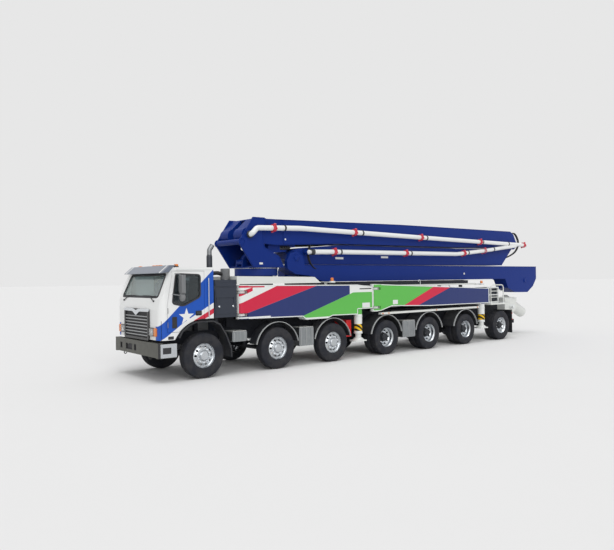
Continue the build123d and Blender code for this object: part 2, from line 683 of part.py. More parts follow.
for hinge_z in (1560.0, 2100.0):
    hinge_low, leaf_front, leaf_rear = hinge_z - HINGE_H, CABINET_AXIS[1] - 8, CABINET_AXIS[1] + 8
    leaf_in = cab_x1 - 13
    cabinet = cabinet + rod_z(8, hinge_low, hinge_z, *CABINET_AXIS)
    cabinet = cabinet + block(leaf_in, CABINET_AXIS[0], leaf_front, leaf_rear, hinge_low, hinge_z)
    cabinet = cabinet + block(leaf_in, cab_x1, leaf_front, cab_y0 + 10, hinge_low, hinge_z)
keep("side_cabinets", *both_sides(cabinet))
cabinet_door = block(cab_x1 + 5, HALF_WIDTH - 6, cab_y0, cab_y1, cab_z0, cab_z1)
for handle_y in (cab_y0 + 60, cab_y1 - 70):
    latch = block(HALF_WIDTH - 7, HALF_WIDTH + 14, handle_y - 18, handle_y + 18, 1740, 1880)
    cabinet_door = cabinet_door + latch
for hinge_z in (1560.0, 2100.0):
    low, high = hinge_z + RUN_GAP, hinge_z + RUN_GAP + HINGE_H
    cabinet_door = cabinet_door + rod_z(8, low, high, *CABINET_AXIS)
    leaf_in = CABINET_AXIS[0] - 20
    cabinet_door = cabinet_door + block(leaf_in, CABINET_AXIS[0], CABINET_AXIS[1], cab_y0 + 5, low, high)
keep("cabinet_door_left", cabinet_door)
keep("cabinet_door_right", mirrored(cabinet_door))

air_cleaner = rod_z(110, cab_z1 + SEAT_GAP, 2575, HALF_WIDTH - 325, 770)
stack = tube_along([(300, 690, ENGINE_TOP + SEAT_GAP), (300, 690, 3060), (300, 780, 3190)], 60, 70)
keep("air_and_exhaust", air_cleaner, stack)

tank_table = ((2838, 3335, 520, 1010), (6905, 7495, 460, 965), (770, 1190, 790, 1040))
tanks = []
for tank_front, tank_rear, tank_low, tank_high in tank_table:
    tank = block(600, HALF_WIDTH - 25, tank_front, tank_rear, tank_low, tank_high)
    tank = fillet(tank.edges().filter_by(Axis.X), 40)
    bracket_low, bracket_high = max(tank_low + 60, RAIL_BOTTOM), tank_high - 60
    front, rear = tank_front + 150, tank_rear - 150
    bracket = block(RAIL_OUT + SEAT_GAP, 601, front, rear, bracket_low, bracket_high)
    tanks.extend(both_sides(tank + bracket))
locker = block(RAIL_OUT + SEAT_GAP, HALF_WIDTH - 250, 4745, 4940, 620, 1095)
tanks.extend(both_sides(locker))
keep("side_tanks", *tanks)


# Superstructure: subframe, pedestal, arm roots and deck posts

SUB_TOP = 1290.0
LUG_Z = ((1400.0, 1460.0), (1960.0, 2020.0))
LUG_R = 100.0
HINGE_PIN_R = 45.0
ARM_PIVOT_Y = {"front": 1100.0, "rear": 5810.0}

sub_parts = both_sides(block(RAIL_OUT - RAIL_W, RAIL_OUT, 950, FRAME_REAR, RAIL_TOP + SEAT_GAP, SUB_TOP))
sub_parts.append(block(-RAIL_OUT, RAIL_OUT, 1500, 3140, SUB_TOP - 10, 1800))
sub_parts.append(rod_z(PEDESTAL_R - 130, 1790, PEDESTAL_TOP - 20, 0, PEDESTAL_Y))
sub_parts.append(rod_z(PEDESTAL_R, PEDESTAL_TOP - FLANGE_T, PEDESTAL_TOP, 0, PEDESTAL_Y))
for post_y in (3800.0, 6600.0, 8800.0, 10900.0):
    post = block(RAIL_OUT - RAIL_W, RAIL_OUT, post_y - 50, post_y + 50, SUB_TOP - 1, 2030 - SEAT_GAP)
    sub_parts.extend(both_sides(post))
for tie_y in (4400.0, 7400.0, 8900.0, 10400.0, 11900.0, 13110.0):
    tie = block(-RAIL_OUT, RAIL_OUT, tie_y - CROSS_T / 2, tie_y + CROSS_T / 2, RAIL_TOP + 40, SUB_TOP)
    sub_parts.append(tie)
for pivot_y in ARM_PIVOT_Y.values():
    sub_parts.append(block(-600, 600, pivot_y - 110, pivot_y + 110, 1100, 2020))
    root_parts = [rod_z(HINGE_PIN_R, LUG_Z[0][0], LUG_Z[1][1], ARM_MID, pivot_y)]
    for lug_low, lug_high in LUG_Z:
        root_parts.append(block(599, ARM_MID, pivot_y - LUG_R, pivot_y + LUG_R, lug_low, lug_high))
        root_parts.append(rod_z(LUG_R, lug_low, lug_high, ARM_MID, pivot_y))
    for root_part in root_parts:
        sub_parts.extend(both_sides(root_part))
keep("subframe", fused(sub_parts))

# Deck: raised part round the pedestal, middle plate, rear platform with its railing, side rails
raised = slab([(905, 2190), (3600, 2190), (3380, 2350), (905, 2383)], -HALF_WIDTH + 6, HALF_WIDTH - 6)
raised = raised - rod_z(PEDESTAL_R - 115, 2100, 2400, 0, PEDESTAL_Y)
raised = fused([raised] + [block(-560, 560, 1000, 1200, 2020 + SEAT_GAP, 2191)])
middle = block(-900, 900, 3700, 11250, 2030, 2080)
platform = block(-HALF_WIDTH + 10, HALF_WIDTH - 10, 11640, 12900, SUB_TOP + SEAT_GAP, 1345)
HOOP_X = HALF_WIDTH - 50.0
HOOP_Y = (11700.0, 12500.0)
hoop_points = [(HOOP_X, y, z) for y, z in zip((HOOP_Y[0], *HOOP_Y, HOOP_Y[1]), (1340, 2000, 2000, 1340))]
railing = [tube_along(hoop_points, 19, 120)]
for bar_z in (1560.0, 1780.0):
    railing.append(rod_y(14, *HOOP_Y, HOOP_X, bar_z))
platform = fused([platform] + both_sides(fused(railing)))
deck_parts = [raised, middle, platform]
side_rail = block(HALF_WIDTH - 120, HALF_WIDTH - 6, 5950, 10900, 1212, 1272)
for stay_y in (7200.0, 9170.0, 10860.0):
    stay_out = HALF_WIDTH - 119
    side_rail = side_rail + block(RAIL_OUT + SEAT_GAP, stay_out, stay_y - 30, stay_y + 30, 1212, 1250)
deck_parts.extend(both_sides(side_rail))
shelves = [block(150, 560, 10950, 11070, 2079, 2215 - MOVE_GAP)]
for beacon_y, shelf_top in BEACON_TABLE:
    shelf_low = min(shelf_top - 40, 2060)
    shelves.extend(both_sides(block(860, 900, beacon_y - 40, beacon_y + 40, shelf_low, shelf_top)))
    plate = block(860, BEACON_X + 50, beacon_y - 40, beacon_y + 40, shelf_top - 30, shelf_top)
    shelves.extend(both_sides(plate))
deck_parts[1] = fused([middle] + shelves)
keep("deck", *deck_parts)


# Outrigger arms and their legs

SLEEVE_R = 118.0
LEG_R = 85.0
SLEEVE_LOW = 700.0
LEG_TOP = 1500.0
FOOT_R = 250.0
FOOT_LOW = 480.0


def swing_arm(outline, pivot_y, leg_y):
    """A swing arm: its outline, a round hinge end slotted for the root's lugs, the leg's sleeve."""
    body = slab(outline, ARM_IN, HALF_WIDTH)
    ends = block(ARM_IN - 5, HALF_WIDTH + 5, pivot_y - ARM_HALF - 5, pivot_y, 1000, 2300)
    body = body - (ends - rod_z(ARM_HALF, 990, 2310, ARM_MID, pivot_y))
    for lug_low, lug_high in LUG_Z:
        low, high = lug_low - MOVE_GAP, lug_high + MOVE_GAP
        front, rear = pivot_y - 160, pivot_y + LUG_R + 25
        body = body - block(ARM_IN - 30, HALF_WIDTH + 30, front, rear, low, high)
    body = body - rod_z(HINGE_PIN_R + SEAT_GAP, 990, 2310, ARM_MID, pivot_y)
    body = body + rod_z(SLEEVE_R, SLEEVE_LOW, 1600, ARM_MID, leg_y)
    return body - rod_z(LEG_R + SEAT_GAP, SLEEVE_LOW - 5, LEG_TOP + 20, ARM_MID, leg_y)


def jack_leg(leg_y):
    """A round leg with a conical foot, its outer side flat with the truck's side."""
    leg = rod_z(LEG_R, FOOT_LOW + 60, LEG_TOP, ARM_MID, leg_y)
    pad = rod_z(FOOT_R, FOOT_LOW, FOOT_LOW + 34, ARM_MID, leg_y)
    neck = Pos(ARM_MID, leg_y, FOOT_LOW + 34 + 40) * Cone(FOOT_R - 60, LEG_R + 10, 80)
    room = block(0, HALF_WIDTH, leg_y - 300, leg_y + 300, 0, 2000)
    return (leg + pad + neck) & room


# name, leg y, side outline as (y, z)
ARM_TABLE = (
    ("front", 5110.0, [
        (965, 1330), (2950, 1300), (3065, 1212), (3830, 1212), (4010, 1275), (4980, 1262), (4980, 1415),
        (5590, 1415), (5590, 2045), (4980, 2120), (965, 2170),
    ]),
    ("rear", 11210.0, [
        (5675, 1310), (5950, 1330), (6420, 1450), (8210, 1384), (11500, 1367), (11500, 1903), (5675, 2126),
    ]),
)
for arm_name, leg_y, outline in ARM_TABLE:
    arm = swing_arm(outline, ARM_PIVOT_Y[arm_name], leg_y)
    keep(f"{arm_name}_arm_left", arm)
    keep(f"{arm_name}_arm_right", mirrored(arm))
    leg = jack_leg(leg_y)
    keep(f"{arm_name}_leg_left", leg)
    keep(f"{arm_name}_leg_right", mirrored(leg))


# Turret, with the boom's lift cylinder

head_outline = [
    (1380, 3270), (1830, PEDESTAL_TOP + 40), (2830, PEDESTAL_TOP + 40), (2700, 2900), (2200, 3150),
    (2150, 3560), (2300, 3900), (2200, 3950), (1840, 3950),
]
HEAD_IN = HEAD_HALF - HEAD_PLATE
NOSE_TUBE = (1478.0, 3290.0, 78.0)
CYL_BASE = (1850.0, 2765.0)
CYL_EYE = (2497.0, 3410.0)
CYL_R = 100.0
ROD_R = 60.0
CYL_PIN_R = 40.0
BARREL_END = 804.0

turret_parts = [rod_z(PEDESTAL_R, PEDESTAL_TOP + SEAT_GAP, PEDESTAL_TOP + 45, 0, PEDESTAL_Y)]
turret_parts.append(block(-HEAD_HALF, HEAD_HALF, 1836, 2800, PEDESTAL_TOP + 30, PEDESTAL_TOP + 75))
turret_parts.append(rod_x(NOSE_TUBE[2], -HEAD_HALF, HEAD_HALF, NOSE_TUBE[0], NOSE_TUBE[1]))
turret_parts.append(rod_x(CYL_PIN_R, -165, 165, CYL_BASE[0], CYL_BASE[1]))
turret_side = [slab(head_outline, HEAD_IN, HEAD_HALF)]
turret_side.append(rod_x(LIFT_PIN_R, HEAD_IN - 80, HEAD_HALF + 22, LIFT_Y, LIFT_Z))
turret_side.append(slab([(1762, 2640), (1938, 2640), (1915, 2835), (1785, 2835)], 125, 165))
for piece in turret_side:
    turret_parts.extend(both_sides(piece))
keep("turret", fused(turret_parts))

cyl_span = Vector(0, CYL_EYE[0] - CYL_BASE[0], CYL_EYE[1] - CYL_BASE[1])
cyl_unit = cyl_span.normalized()


def on_cylinder(distance):
    """A point on the lift cylinder's line, distance from its base pin."""
    point = Vector(0, CYL_BASE[0], CYL_BASE[1]) + cyl_unit * distance
    return (point.X, point.Y, point.Z)


barrel = bar_between(on_cylinder(50), on_cylinder(BARREL_END), CYL_R)
barrel = barrel + rod_x(80, -118, 118, CYL_BASE[0], CYL_BASE[1])
barrel = barrel - rod_x(CYL_PIN_R + SEAT_GAP, -130, 130, CYL_BASE[0], CYL_BASE[1])
barrel = barrel - bar_between(on_cylinder(130), on_cylinder(BARREL_END + 5), ROD_R + SEAT_GAP)
keep("lift_barrel", barrel)
rod_piece = bar_between(on_cylinder(150), on_cylinder(cyl_span.length - 20), ROD_R)
rod_piece = rod_piece + rod_x(75, -60, 60, CYL_EYE[0], CYL_EYE[1])
rod_piece = rod_piece + rod_x(CYL_PIN_R, -134, 134, CYL_EYE[0], CYL_EYE[1])
keep("lift_rod", rod_piece)


# Boom: five sections folded over each other, each a side outline carried across its width

CHEEK_IN = 140.0
CHEEK_OUT = 545.0
ROOT_REAR = 2640.0
S1_FAR, S1_NEAR = -330.0, 540.0
S2_FAR, S2_NEAR = -275.0, 480.0
S3_FAR, S3_NEAR = 80.0, 600.0
S4_FAR, S4_NEAR = -430.0, 60.0
S5_FAR, S5_NEAR = -800.0, -450.0
FOLD_12 = (14200.0, 3500.0)
FOLD_23 = (3270.0, 2890.0)
FOLD_34 = (15000.0, 2150.0)
FOLD_45 = (3900.0, 2430.0)
FORK_T = 45.0

LIP_OUT = 12.0
LIP_T = 16.0


def lips(x, top, bottom):
    """The cover plates' edges that stand out of a section's near side at its top and bottom."""
    strips = []
    for edge, inward in ((top, -LIP_T), (bottom, LIP_T)):
        outline = edge + [(y, z + inward) for y, z in edge[::-1]]
        strips.append(slab(outline, x - 1, x + LIP_OUT))
    return strips


root_outline = [(1640, 3655), (1930, 3925), (ROOT_REAR + 5, 3932), (ROOT_REAR + 5, 3230), (1740, 3296)]
root_cheek = slab(root_outline, CHEEK_IN, CHEEK_OUT) + rod_x(190, CHEEK_IN, CHEEK_OUT, LIFT_Y, LIFT_Z)
root_cheek = root_cheek - rod_x(LIFT_PIN_R + SEAT_GAP, HEAD_IN - 85, CHEEK_OUT + 5, LIFT_Y, LIFT_Z)
root_top_outline = [(1925, 3895), (ROOT_REAR + 5, 3905), (ROOT_REAR + 5, 3932), (1930, 3925)]
root_top = slab(root_top_outline, -CHEEK_OUT, CHEEK_OUT)
main_outline = [
    (ROOT_REAR, 3932), (7560, 4030), (14100, 4080), (14330, 3960), (14520, 3660), (14500, 3480),
    (14350, 3380), (14050, 3380), (13850, 3440), (13300, 3430), (10500, 3372), (5000, 3330),
    (ROOT_REAR, 3233),
]
main = slab(main_outline, S1_FAR, S1_NEAR)
main = main - block(S1_FAR + FORK_T, S1_NEAR - FORK_T, 13850, 14600, 3000, 3760)
main_lips = lips(
    S1_NEAR, [(ROOT_REAR, 3932), (7560, 4030), (14100, 4080)],
    [(ROOT_REAR, 3233), (5000, 3330), (10500, 3372), (13300, 3430)])
doubler_outline = [(2860, 3900), (3900, 3900), (5400, 3430), (4300, 3320), (2860, 3264)]
doubler = slab(doubler_outline, S1_NEAR - 1, S1_NEAR + 10)
section_1 = fused([main, root_cheek, mirrored(root_cheek), root_top, doubler] + main_lips)
section_1 = section_1 + rod_x(60, S1_FAR, S1_NEAR, FOLD_12[0], FOLD_12[1])
keep("boom_section_1", section_1)

section_2_outline = [
    (3260, 3120), (3420, 3170), (5000, 3296), (10600, 3325), (13250, 3375), (13865, 3395),
    (14110, 3600), (14320, 3440), (13560, 2745), (3600, 2715), (3320, 2740), (3110, 2880),
    (3130, 3050),
]
section_2_lips = lips(
    S2_NEAR, [(3620, 3185), (5000, 3296), (10600, 3325), (12300, 3357)], [(3620, 2715), (13560, 2745)])
section_2 = fused([slab(section_2_outline, S2_FAR, S2_NEAR)] + section_2_lips)
section_2 = section_2 + rod_x(140, S2_FAR, S2_NEAR, FOLD_12[0], FOLD_12[1])
section_2 = section_2 - rod_x(60 + SEAT_GAP, S1_FAR, S1_NEAR, FOLD_12[0], FOLD_12[1])
section_2 = section_2 - rod_x(65 + SEAT_GAP, 195, S2_NEAR + 5, FOLD_23[0], FOLD_23[1])
keep("boom_section_2", section_2)

section_3_outline = [
    (3000, 2560), (3250, 2440), (3700, 2400), (4250, 2215), (13600, 2215), (13800, 1860), (14300, 1680),
    (15200, 1665), (15620, 1900), (BOOM_REAR, 2215), (BOOM_REAR, 2705), (3100, 2700),
]
knuckle_outline = [
    (3000, 2560), (3560, 2560), (3560, 2690), (3480, 2960), (3290, 3080), (3050, 3020),
    (2930, 2800), (2960, 2600),
]
section_3_lips = lips(
    S3_NEAR, [(3580, 2702), (BOOM_REAR, 2705)], [(4250, 2215), (13600, 2215)])
section_3 = slab(section_3_outline, S3_FAR, S3_NEAR) + slab(knuckle_outline, S2_NEAR + MOVE_GAP, S3_NEAR)
section_3 = fused([section_3] + section_3_lips)
section_3 = section_3 + rod_x(65, 200, S3_NEAR, FOLD_23[0], FOLD_23[1])
section_3 = section_3 - rod_x(55 + SEAT_GAP, S3_FAR - 5, 405, FOLD_34[0], FOLD_34[1])
keep("boom_section_3", section_3)

section_4_outline = [
    (3700, 2620), (3700, 2300), (14200, 2250), (14900, 1960), (15250, 2000), (15300, 2300), (14300, 2640),
]
section_4 = slab(section_4_outline, S4_FAR, S4_NEAR) + rod_x(55, 0, 400, FOLD_34[0], FOLD_34[1])
section_4 = section_4 - rod_x(45 + SEAT_GAP, S4_FAR - 5, -295, FOLD_45[0], FOLD_45[1])
keep("boom_section_4", section_4)
section_5 = slab([(3650, 2560), (3650, 2300), (13000, 2330), (13000, 2530), (3900, 2600)], S5_FAR, S5_NEAR)
section_5 = section_5 + rod_x(45, -600, -300, FOLD_45[0], FOLD_45[1])
keep("boom_section_5", section_5)


# Delivery line: pipes beside the sections, brackets and ring couplings

PIPE_X = 735.0
upper_line = [
    (632, LIFT_Y, LIFT_Z), (PIPE_X, LIFT_Y, LIFT_Z), (PIPE_X, 1860, 3650), (PIPE_X, 3290, 3700),
    (PIPE_X, 9980, 3610), (PIPE_X, 14900, 3550),
]
lower_line = [
    (S2_NEAR + SEAT_GAP, 3650, 3055), (PIPE_X, 3650, 3055), (PIPE_X, 4490, 3075), (PIPE_X, 10370, 3115),
    (PIPE_X, 12070, 3275), (PIPE_X, 14130, 3505),
]


def pipe(points, radii):
    """A pipe along straight runs joined by arcs, one radius for each corner."""
    path = FilletPolyline(*points, radius=radii)
    return sweep(Plane(origin=path @ 0, z_dir=path % 0) * Circle(PIPE_R), path=path)


def height_on(points, y):
    """The pipe's height at one y, along its straight runs."""
    for start, end in zip(points, points[1:]):
        if start[1] <= y <= end[1] and end[1] > start[1]:
            return start[2] + (end[2] - start[2]) * (y - start[1]) / (end[1] - start[1])
    return points[-1][2]


upper_pipe = pipe(upper_line, [100, 150, 2000, 2000])
lower_pipe = pipe(lower_line, [200, 2000, 2000, 2000])
for bracket_y in (2760.0, 5700.0, 8700.0, 11900.0, 13600.0):
    z = height_on(upper_line, bracket_y)
    front, rear = bracket_y - 25, bracket_y + 25
    upper_pipe = upper_pipe + block(S1_NEAR + SEAT_GAP, PIPE_X, front, rear, z - 50, z + 50)
for bracket_y in (4800.0, 7900.0, 11000.0, 12600.0):
    z = height_on(lower_line, bracket_y)
    front, rear = bracket_y - 25, bracket_y + 25
    lower_pipe = lower_pipe + block(S2_NEAR + SEAT_GAP, PIPE_X, front, rear, z - 50, z + 50)
# Hoses round the first fold, held by the sections' ends, as (y, z)
HOSE_R = 20.0
HOSE_BEND = 120.0
HOSE_X = (60.0, 130.0)
hose_line = (
    (14400.5, 3849.2), (14493, 3908), (14650, 3800), (14670, 3380), (14480, 3120), (14208, 3161),
    (14120.2, 3256.8),
)
hoses = [tube_along([(x, y, z) for y, z in hose_line], HOSE_R, HOSE_BEND) for x in HOSE_X]
keep("boom_pipes", upper_pipe, lower_pipe, *hoses)

COUPLING_TABLE = (
    (upper_line, (2400.0, 5380.0, 8420.0, 11750.0, 14700.0)),
    (lower_line, (4560.0, 7660.0, 10750.0)),
)
couplings = []
for line, coupling_ys in COUPLING_TABLE:
    for coupling_y in coupling_ys:
        ends = [(PIPE_X, y, height_on(line, y)) for y in (coupling_y - 45, coupling_y + 45)]
        over = [(PIPE_X, y, height_on(line, y)) for y in (coupling_y - 60, coupling_y + 60)]
        couplings.append(bar_between(*ends, COUPLING_R) - bar_between(*over, PIPE_R + 1))
keep("pipe_couplings", *couplings)


# Pump, hopper and chute

pump_parts = [rod_y(120, 9600, 13300 - SEAT_GAP, pump_x, 1500) for pump_x in (-150.0, 150.0)]
pump_parts.append(block(-380, 380, 10990, 11630, SUB_TOP + 50, 1700))
keep("pump_unit", fused(pump_parts))

hopper = slab([(13300, 1480), (14150, 1480), (14050, 1000), (13700, 820), (13300, 820)], -750, 750)
hopper = hopper - slab([(13340, 1490), (14110, 1490), (14010, 1020), (13690, 865), (13340, 865)], -710, 710)
hopper = hopper + block(-500, 500, FRAME_REAR + SEAT_GAP, 13301, 850, 1050)
grate_low = 1480 + SEAT_GAP
grate = [block(x - 8, x + 8, 13310, 14130, grate_low, grate_low + 18) for x in range(-640, 641, 160)]
CHUTE_TOP = (260.0, 14060.0, 1390.0)
CHUTE_FOOT = (260.0, 15250.0, 840.0)
CHUTE_R = 210.0
CHUTE_WALL = 20.0
bore_start, bore_end = (260.0, 14330.0, 1265.0), (260.0, 15350.0, 794.0)
chute = bar_between(CHUTE_TOP, CHUTE_FOOT, CHUTE_R)
chute = chute - bar_between(bore_start, bore_end, CHUTE_R - CHUTE_WALL)
chute = chute - block(-750, 750, 13300, 14125, 800, 1700)
keep("hopper", hopper + chute, *grate)


os.makedirs("parts", exist_ok=True)
for node_name, node_shape in NODES.items():
    export_step(node_shape, f"parts/{node_name}.step")
print(len(NODES), "nodes")
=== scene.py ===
"""Finishes and fine pieces of a truck-mounted concrete pump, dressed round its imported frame.

Sizes are in metres. Lengths along the truck are measured backwards from the first axle,
and fit() turns them into the frame's own y.
"""
from __future__ import annotations

import logging
import math
from dataclasses import dataclass, field, replace
from enum import Enum

import bmesh
import bpy
import numpy as np
from mathutils import Matrix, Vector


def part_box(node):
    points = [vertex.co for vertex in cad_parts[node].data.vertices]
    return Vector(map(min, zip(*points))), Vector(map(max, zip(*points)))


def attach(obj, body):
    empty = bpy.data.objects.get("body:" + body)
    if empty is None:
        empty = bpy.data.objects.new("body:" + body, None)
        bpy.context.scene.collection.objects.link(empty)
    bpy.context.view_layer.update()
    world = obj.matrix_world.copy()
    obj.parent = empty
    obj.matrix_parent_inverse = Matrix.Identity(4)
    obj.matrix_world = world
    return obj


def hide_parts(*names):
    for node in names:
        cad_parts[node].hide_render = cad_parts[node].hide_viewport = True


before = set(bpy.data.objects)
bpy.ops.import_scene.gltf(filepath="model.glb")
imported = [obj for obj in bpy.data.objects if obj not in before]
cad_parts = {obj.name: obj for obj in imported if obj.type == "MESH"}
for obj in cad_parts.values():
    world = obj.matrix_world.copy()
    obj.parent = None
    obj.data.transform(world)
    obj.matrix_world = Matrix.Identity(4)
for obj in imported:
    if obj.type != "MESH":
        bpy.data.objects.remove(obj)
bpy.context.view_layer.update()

LOG = logging.getLogger("pump_truck")
_AXLE_LOW, _AXLE_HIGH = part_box("wheel_1_left")
FIRST_AXLE = (_AXLE_LOW.y + _AXLE_HIGH.y) / 2
SIDES = ("left", "right")
# Points closer than this are one point, and edges sharper than this are rounded in so many steps.
WELD = 2e-5
ROUNDED_PAST = math.radians(30)
ROUNDING_STEPS = 2

Point = tuple[float, float, float]
Pair = tuple[float, float]
Box = tuple[Pair, Pair, float]
Tone = tuple[float, float, float]


def tone(*channels: float) -> Tone:
    """A colour seen on a screen, 0 to 255 a channel, as linear light."""
    seen = np.array(channels) / 255
    light = np.where(seen <= 0.04045, seen / 12.92, ((seen + 0.055) / 1.055) ** 2.4)
    return tuple(float(channel) for channel in light)


def scaled(colour: Tone, share: float) -> Tone:
    """A colour with a share of its light."""
    return tuple(share * channel for channel in colour)


# Meshes


@dataclass
class Shell:
    """Points and faces of a piece, worked out with numpy.

    Attributes:
        points: The corners, one row each.
        quads: Four point numbers for each face.
        shades: The number of each face's finish.
        caps: Flat ends with any number of corners.
        cap_shades: The number of each end's finish.
    """

    points: np.ndarray
    quads: np.ndarray
    shades: np.ndarray
    caps: list[np.ndarray] = field(default_factory=list)
    cap_shades: list[int] = field(default_factory=list)

    @classmethod
    def grid(cls, points: np.ndarray, round_u: bool = False, shut: bool = False) -> "Shell":
        """Joins each point of a two-way grid to its neighbours; the last column joins the first.

        Args:
            points: The grid, (rows, columns, 3).
            round_u: The last row joins the first.
            shut: The first and the last row become flat ends.

        Returns:
            The surface through the grid.
        """
        rows, columns = points.shape[:2]
        i, j = np.meshgrid(np.arange(rows if round_u else rows - 1), np.arange(columns), indexing="ij")
        below, beside = (i + 1) % rows, (j + 1) % columns
        quads = np.stack([i * columns + j, below * columns + j, below * columns + beside, i * columns + beside], -1)
        rim = np.arange(columns)
        caps = [rim, (rows - 1) * columns + rim[::-1]] if shut else []
        return cls(points.reshape(-1, 3), quads.reshape(-1, 4), np.zeros(i.size, int), caps, [0] * len(caps))

    def __add__(self, other: "Shell") -> "Shell":
        """Both shells as one."""
        step = len(self.points)
        return Shell(np.vstack([self.points, other.points]), np.vstack([self.quads, other.quads + step]),
                     np.concatenate([self.shades, other.shades]), self.caps + [cap + step for cap in other.caps],
                     self.cap_shades + other.cap_shades)

    def moved(self, x: float = 0.0, y: float = 0.0, z: float = 0.0) -> "Shell":
        """The shell carried by x, y and z."""
        return replace(self, points=self.points + [x, y, z])

    def turned(self, axis: str, degrees: float, centre: Point = (0, 0, 0)) -> "Shell":
        """The shell turned about an axis through centre, right-handed."""
        turn = np.array(Matrix.Rotation(math.radians(degrees), 3, axis))
        return replace(self, points=(self.points - centre) @ turn.T + centre)

    def mirrored(self) -> "Shell":
        """The shell on the truck's other side, with its faces turned to suit."""
        return replace(self, points=self.points * [-1, 1, 1], quads=self.quads[:, ::-1],
                       caps=[cap[::-1] for cap in self.caps])

    def both(self) -> "Shell":
        """The shell on both sides of the truck."""
        return self + self.mirrored()

    def shaded(self, shade: int) -> "Shell":
        """The shell with every face in one finish."""
        return replace(self, shades=np.full(len(self.quads), shade), cap_shades=[shade] * len(self.caps))

    def mesh(self, name: str, sharp: float, outward: bool) -> bpy.types.Mesh:
        """Writes the shell into a mesh, its doubles merged.

        Args:
            name: The mesh's name.
            sharp: The angle in degrees past which an edge stays sharp.
            outward: The faces are turned outwards.

        Returns:
            The mesh.
        """
        mesh = bpy.data.meshes.new(name)
        mesh.from_pydata(self.points.tolist(), [], self.quads.tolist() + [cap.tolist() for cap in self.caps])
        shades = np.concatenate([self.shades, np.array(self.cap_shades, int)]).astype(np.int32)
        mesh.polygons.foreach_set("material_index", shades)
        work = bmesh.new()
        work.from_mesh(mesh)
        bmesh.ops.remove_doubles(work, verts=work.verts, dist=WELD)
        if outward:
            bmesh.ops.recalc_face_normals(work, faces=work.faces)
        work.to_mesh(mesh)
        work.free()
        mesh.shade_smooth()
        mesh.set_sharp_from_angle(angle=math.radians(sharp))
        return mesh


def joined(shells: Shell | list[Shell]) -> Shell:
    """All the shells as one."""
    return shells if isinstance(shells, Shell) else sum(shells[1:], shells[0])


def angles(steps: int, start: float = 0.0) -> np.ndarray:
    """Angles evenly round a circle, in radians."""
    return start + np.linspace(0, 2 * np.pi, steps, endpoint=False)


def turned(profile: np.ndarray | list, centre: Point = (0, 0, 0), axis: str = "X", steps: int = 48,
           start: float = 0.0) -> Shell:
    """A profile turned about an axis.

    A point at radius r and height h of the profile goes round as
    centre + r * (cosine, sine of the angle) in the plane + h along the axis.

    Args:
        profile: Rows of radius and height.
        centre: The point on the axis at height 0.
        axis: X, Y or Z.
        steps: The number of places round the axis.
        start: The first angle in radians.

    Returns:
        The surface.
    """
    profile = np.asarray(profile, float)
    angle = angles(steps, start)
    flat = profile[:, None, :1] * np.stack([np.cos(angle), np.sin(angle)], -1)[None]
    height = np.broadcast_to(profile[:, None, 1:2], flat.shape[:2] + (1,))
    order = {"X": (2, 0, 1), "Y": (1, 2, 0), "Z": (0, 1, 2)}[axis]
    return Shell.grid(np.concatenate([flat, height], -1)[..., order] + np.array(centre))


def eased(points: list | np.ndarray, count: int) -> np.ndarray:
    """A smooth line of count samples through points in two or three dimensions.

    Each run between two points is the cubic whose slopes at its ends are half the step
    between the points on either side.
    """
    line = np.asarray(points, float)
    wide = np.vstack([2 * line[0] - line[1], line, 2 * line[-1] - line[-2]])
    place = np.linspace(0, len(line) - 1 - 1e-9, count)
    run = place.astype(int)
    t = (place - run)[:, None]
    a, b, c, d = (wide[run + step] for step in range(4))
    return 0.5 * (2 * b + (c - a) * t + (2 * a - 5 * b + 4 * c - d) * t ** 2 + (3 * b - a - 3 * c + d) * t ** 3)


def softened(corners: list | np.ndarray, cut: float, loop: bool = True) -> np.ndarray:
    """An outline or a line with rounded corners.

    Each corner becomes (1 - t)^2 * before + 2t(1 - t) * corner + t^2 * after, where before and
    after lie on its two edges, cut away from it. The last corner is joined to the first in a loop.
    """
    at = np.asarray(corners, float)
    ways = [np.roll(at, shift, 0) - at for shift in (1, -1)]
    before, after = (at + cut * way / np.linalg.norm(way, axis=1, keepdims=True) for way in ways)
    t = np.linspace(0, 1, 6)[None, :, None]
    curve = (1 - t) ** 2 * before[:, None] + 2 * t * (1 - t) * at[:, None] + t ** 2 * after[:, None]
    if loop:
        return curve.reshape(-1, at.shape[1])
    return np.vstack([at[:1], curve[1:-1].reshape(-1, at.shape[1]), at[-1:]])


def carried(path: np.ndarray | list, profile: np.ndarray, up: Point = (0, 0, 1), loop: bool = False) -> Shell:
    """A profile carried along a path.

    At each place the profile's first number goes along side = tangent x up and its second
    along side x tangent, so the profile stays square to the path.

    Args:
        path: The path's points, (n, 3).
        profile: The profile's points, (m, 2), going round.
        up: A direction that the path never follows.
        loop: The path ends where it starts; other paths get flat ends.

    Returns:
        The surface.
    """
    path, profile = np.asarray(path, float), np.asarray(profile, float)
    tangent = np.roll(path, -1, 0) - np.roll(path, 1, 0) if loop else np.gradient(path, axis=0)
    tangent = tangent / np.linalg.norm(tangent, axis=1, keepdims=True)
    side = np.cross(tangent, np.asarray(up, float))
    side = side / np.linalg.norm(side, axis=1, keepdims=True)
    above = np.cross(side, tangent)
    points = path[:, None] + profile[None, :, :1] * side[:, None] + profile[None, :, 1:2] * above[:, None]
    return Shell.grid(points, round_u=loop, shut=not loop)


def edging(line: list | np.ndarray, cut: float, profile: np.ndarray, up: Point) -> Shell:
    """A profile carried round a closed line with rounded corners."""
    return carried(softened(line, cut), profile, up, loop=True)


def circle(radius: float, steps: int = 16, tall: float = 1.0) -> np.ndarray:
    """A round profile, its second number scaled by tall."""
    angle = angles(steps)
    return np.stack([radius * np.cos(angle), radius * tall * np.sin(angle)], -1)


def pipe(points: list | np.ndarray, radius: float, count: int = 0, steps: int = 12, up: Point = (0, 0, 1)) -> Shell:
    """A round bar through points, eased into a curve where count is given."""
    return carried(eased(points, count) if count else points, circle(radius, steps), up)


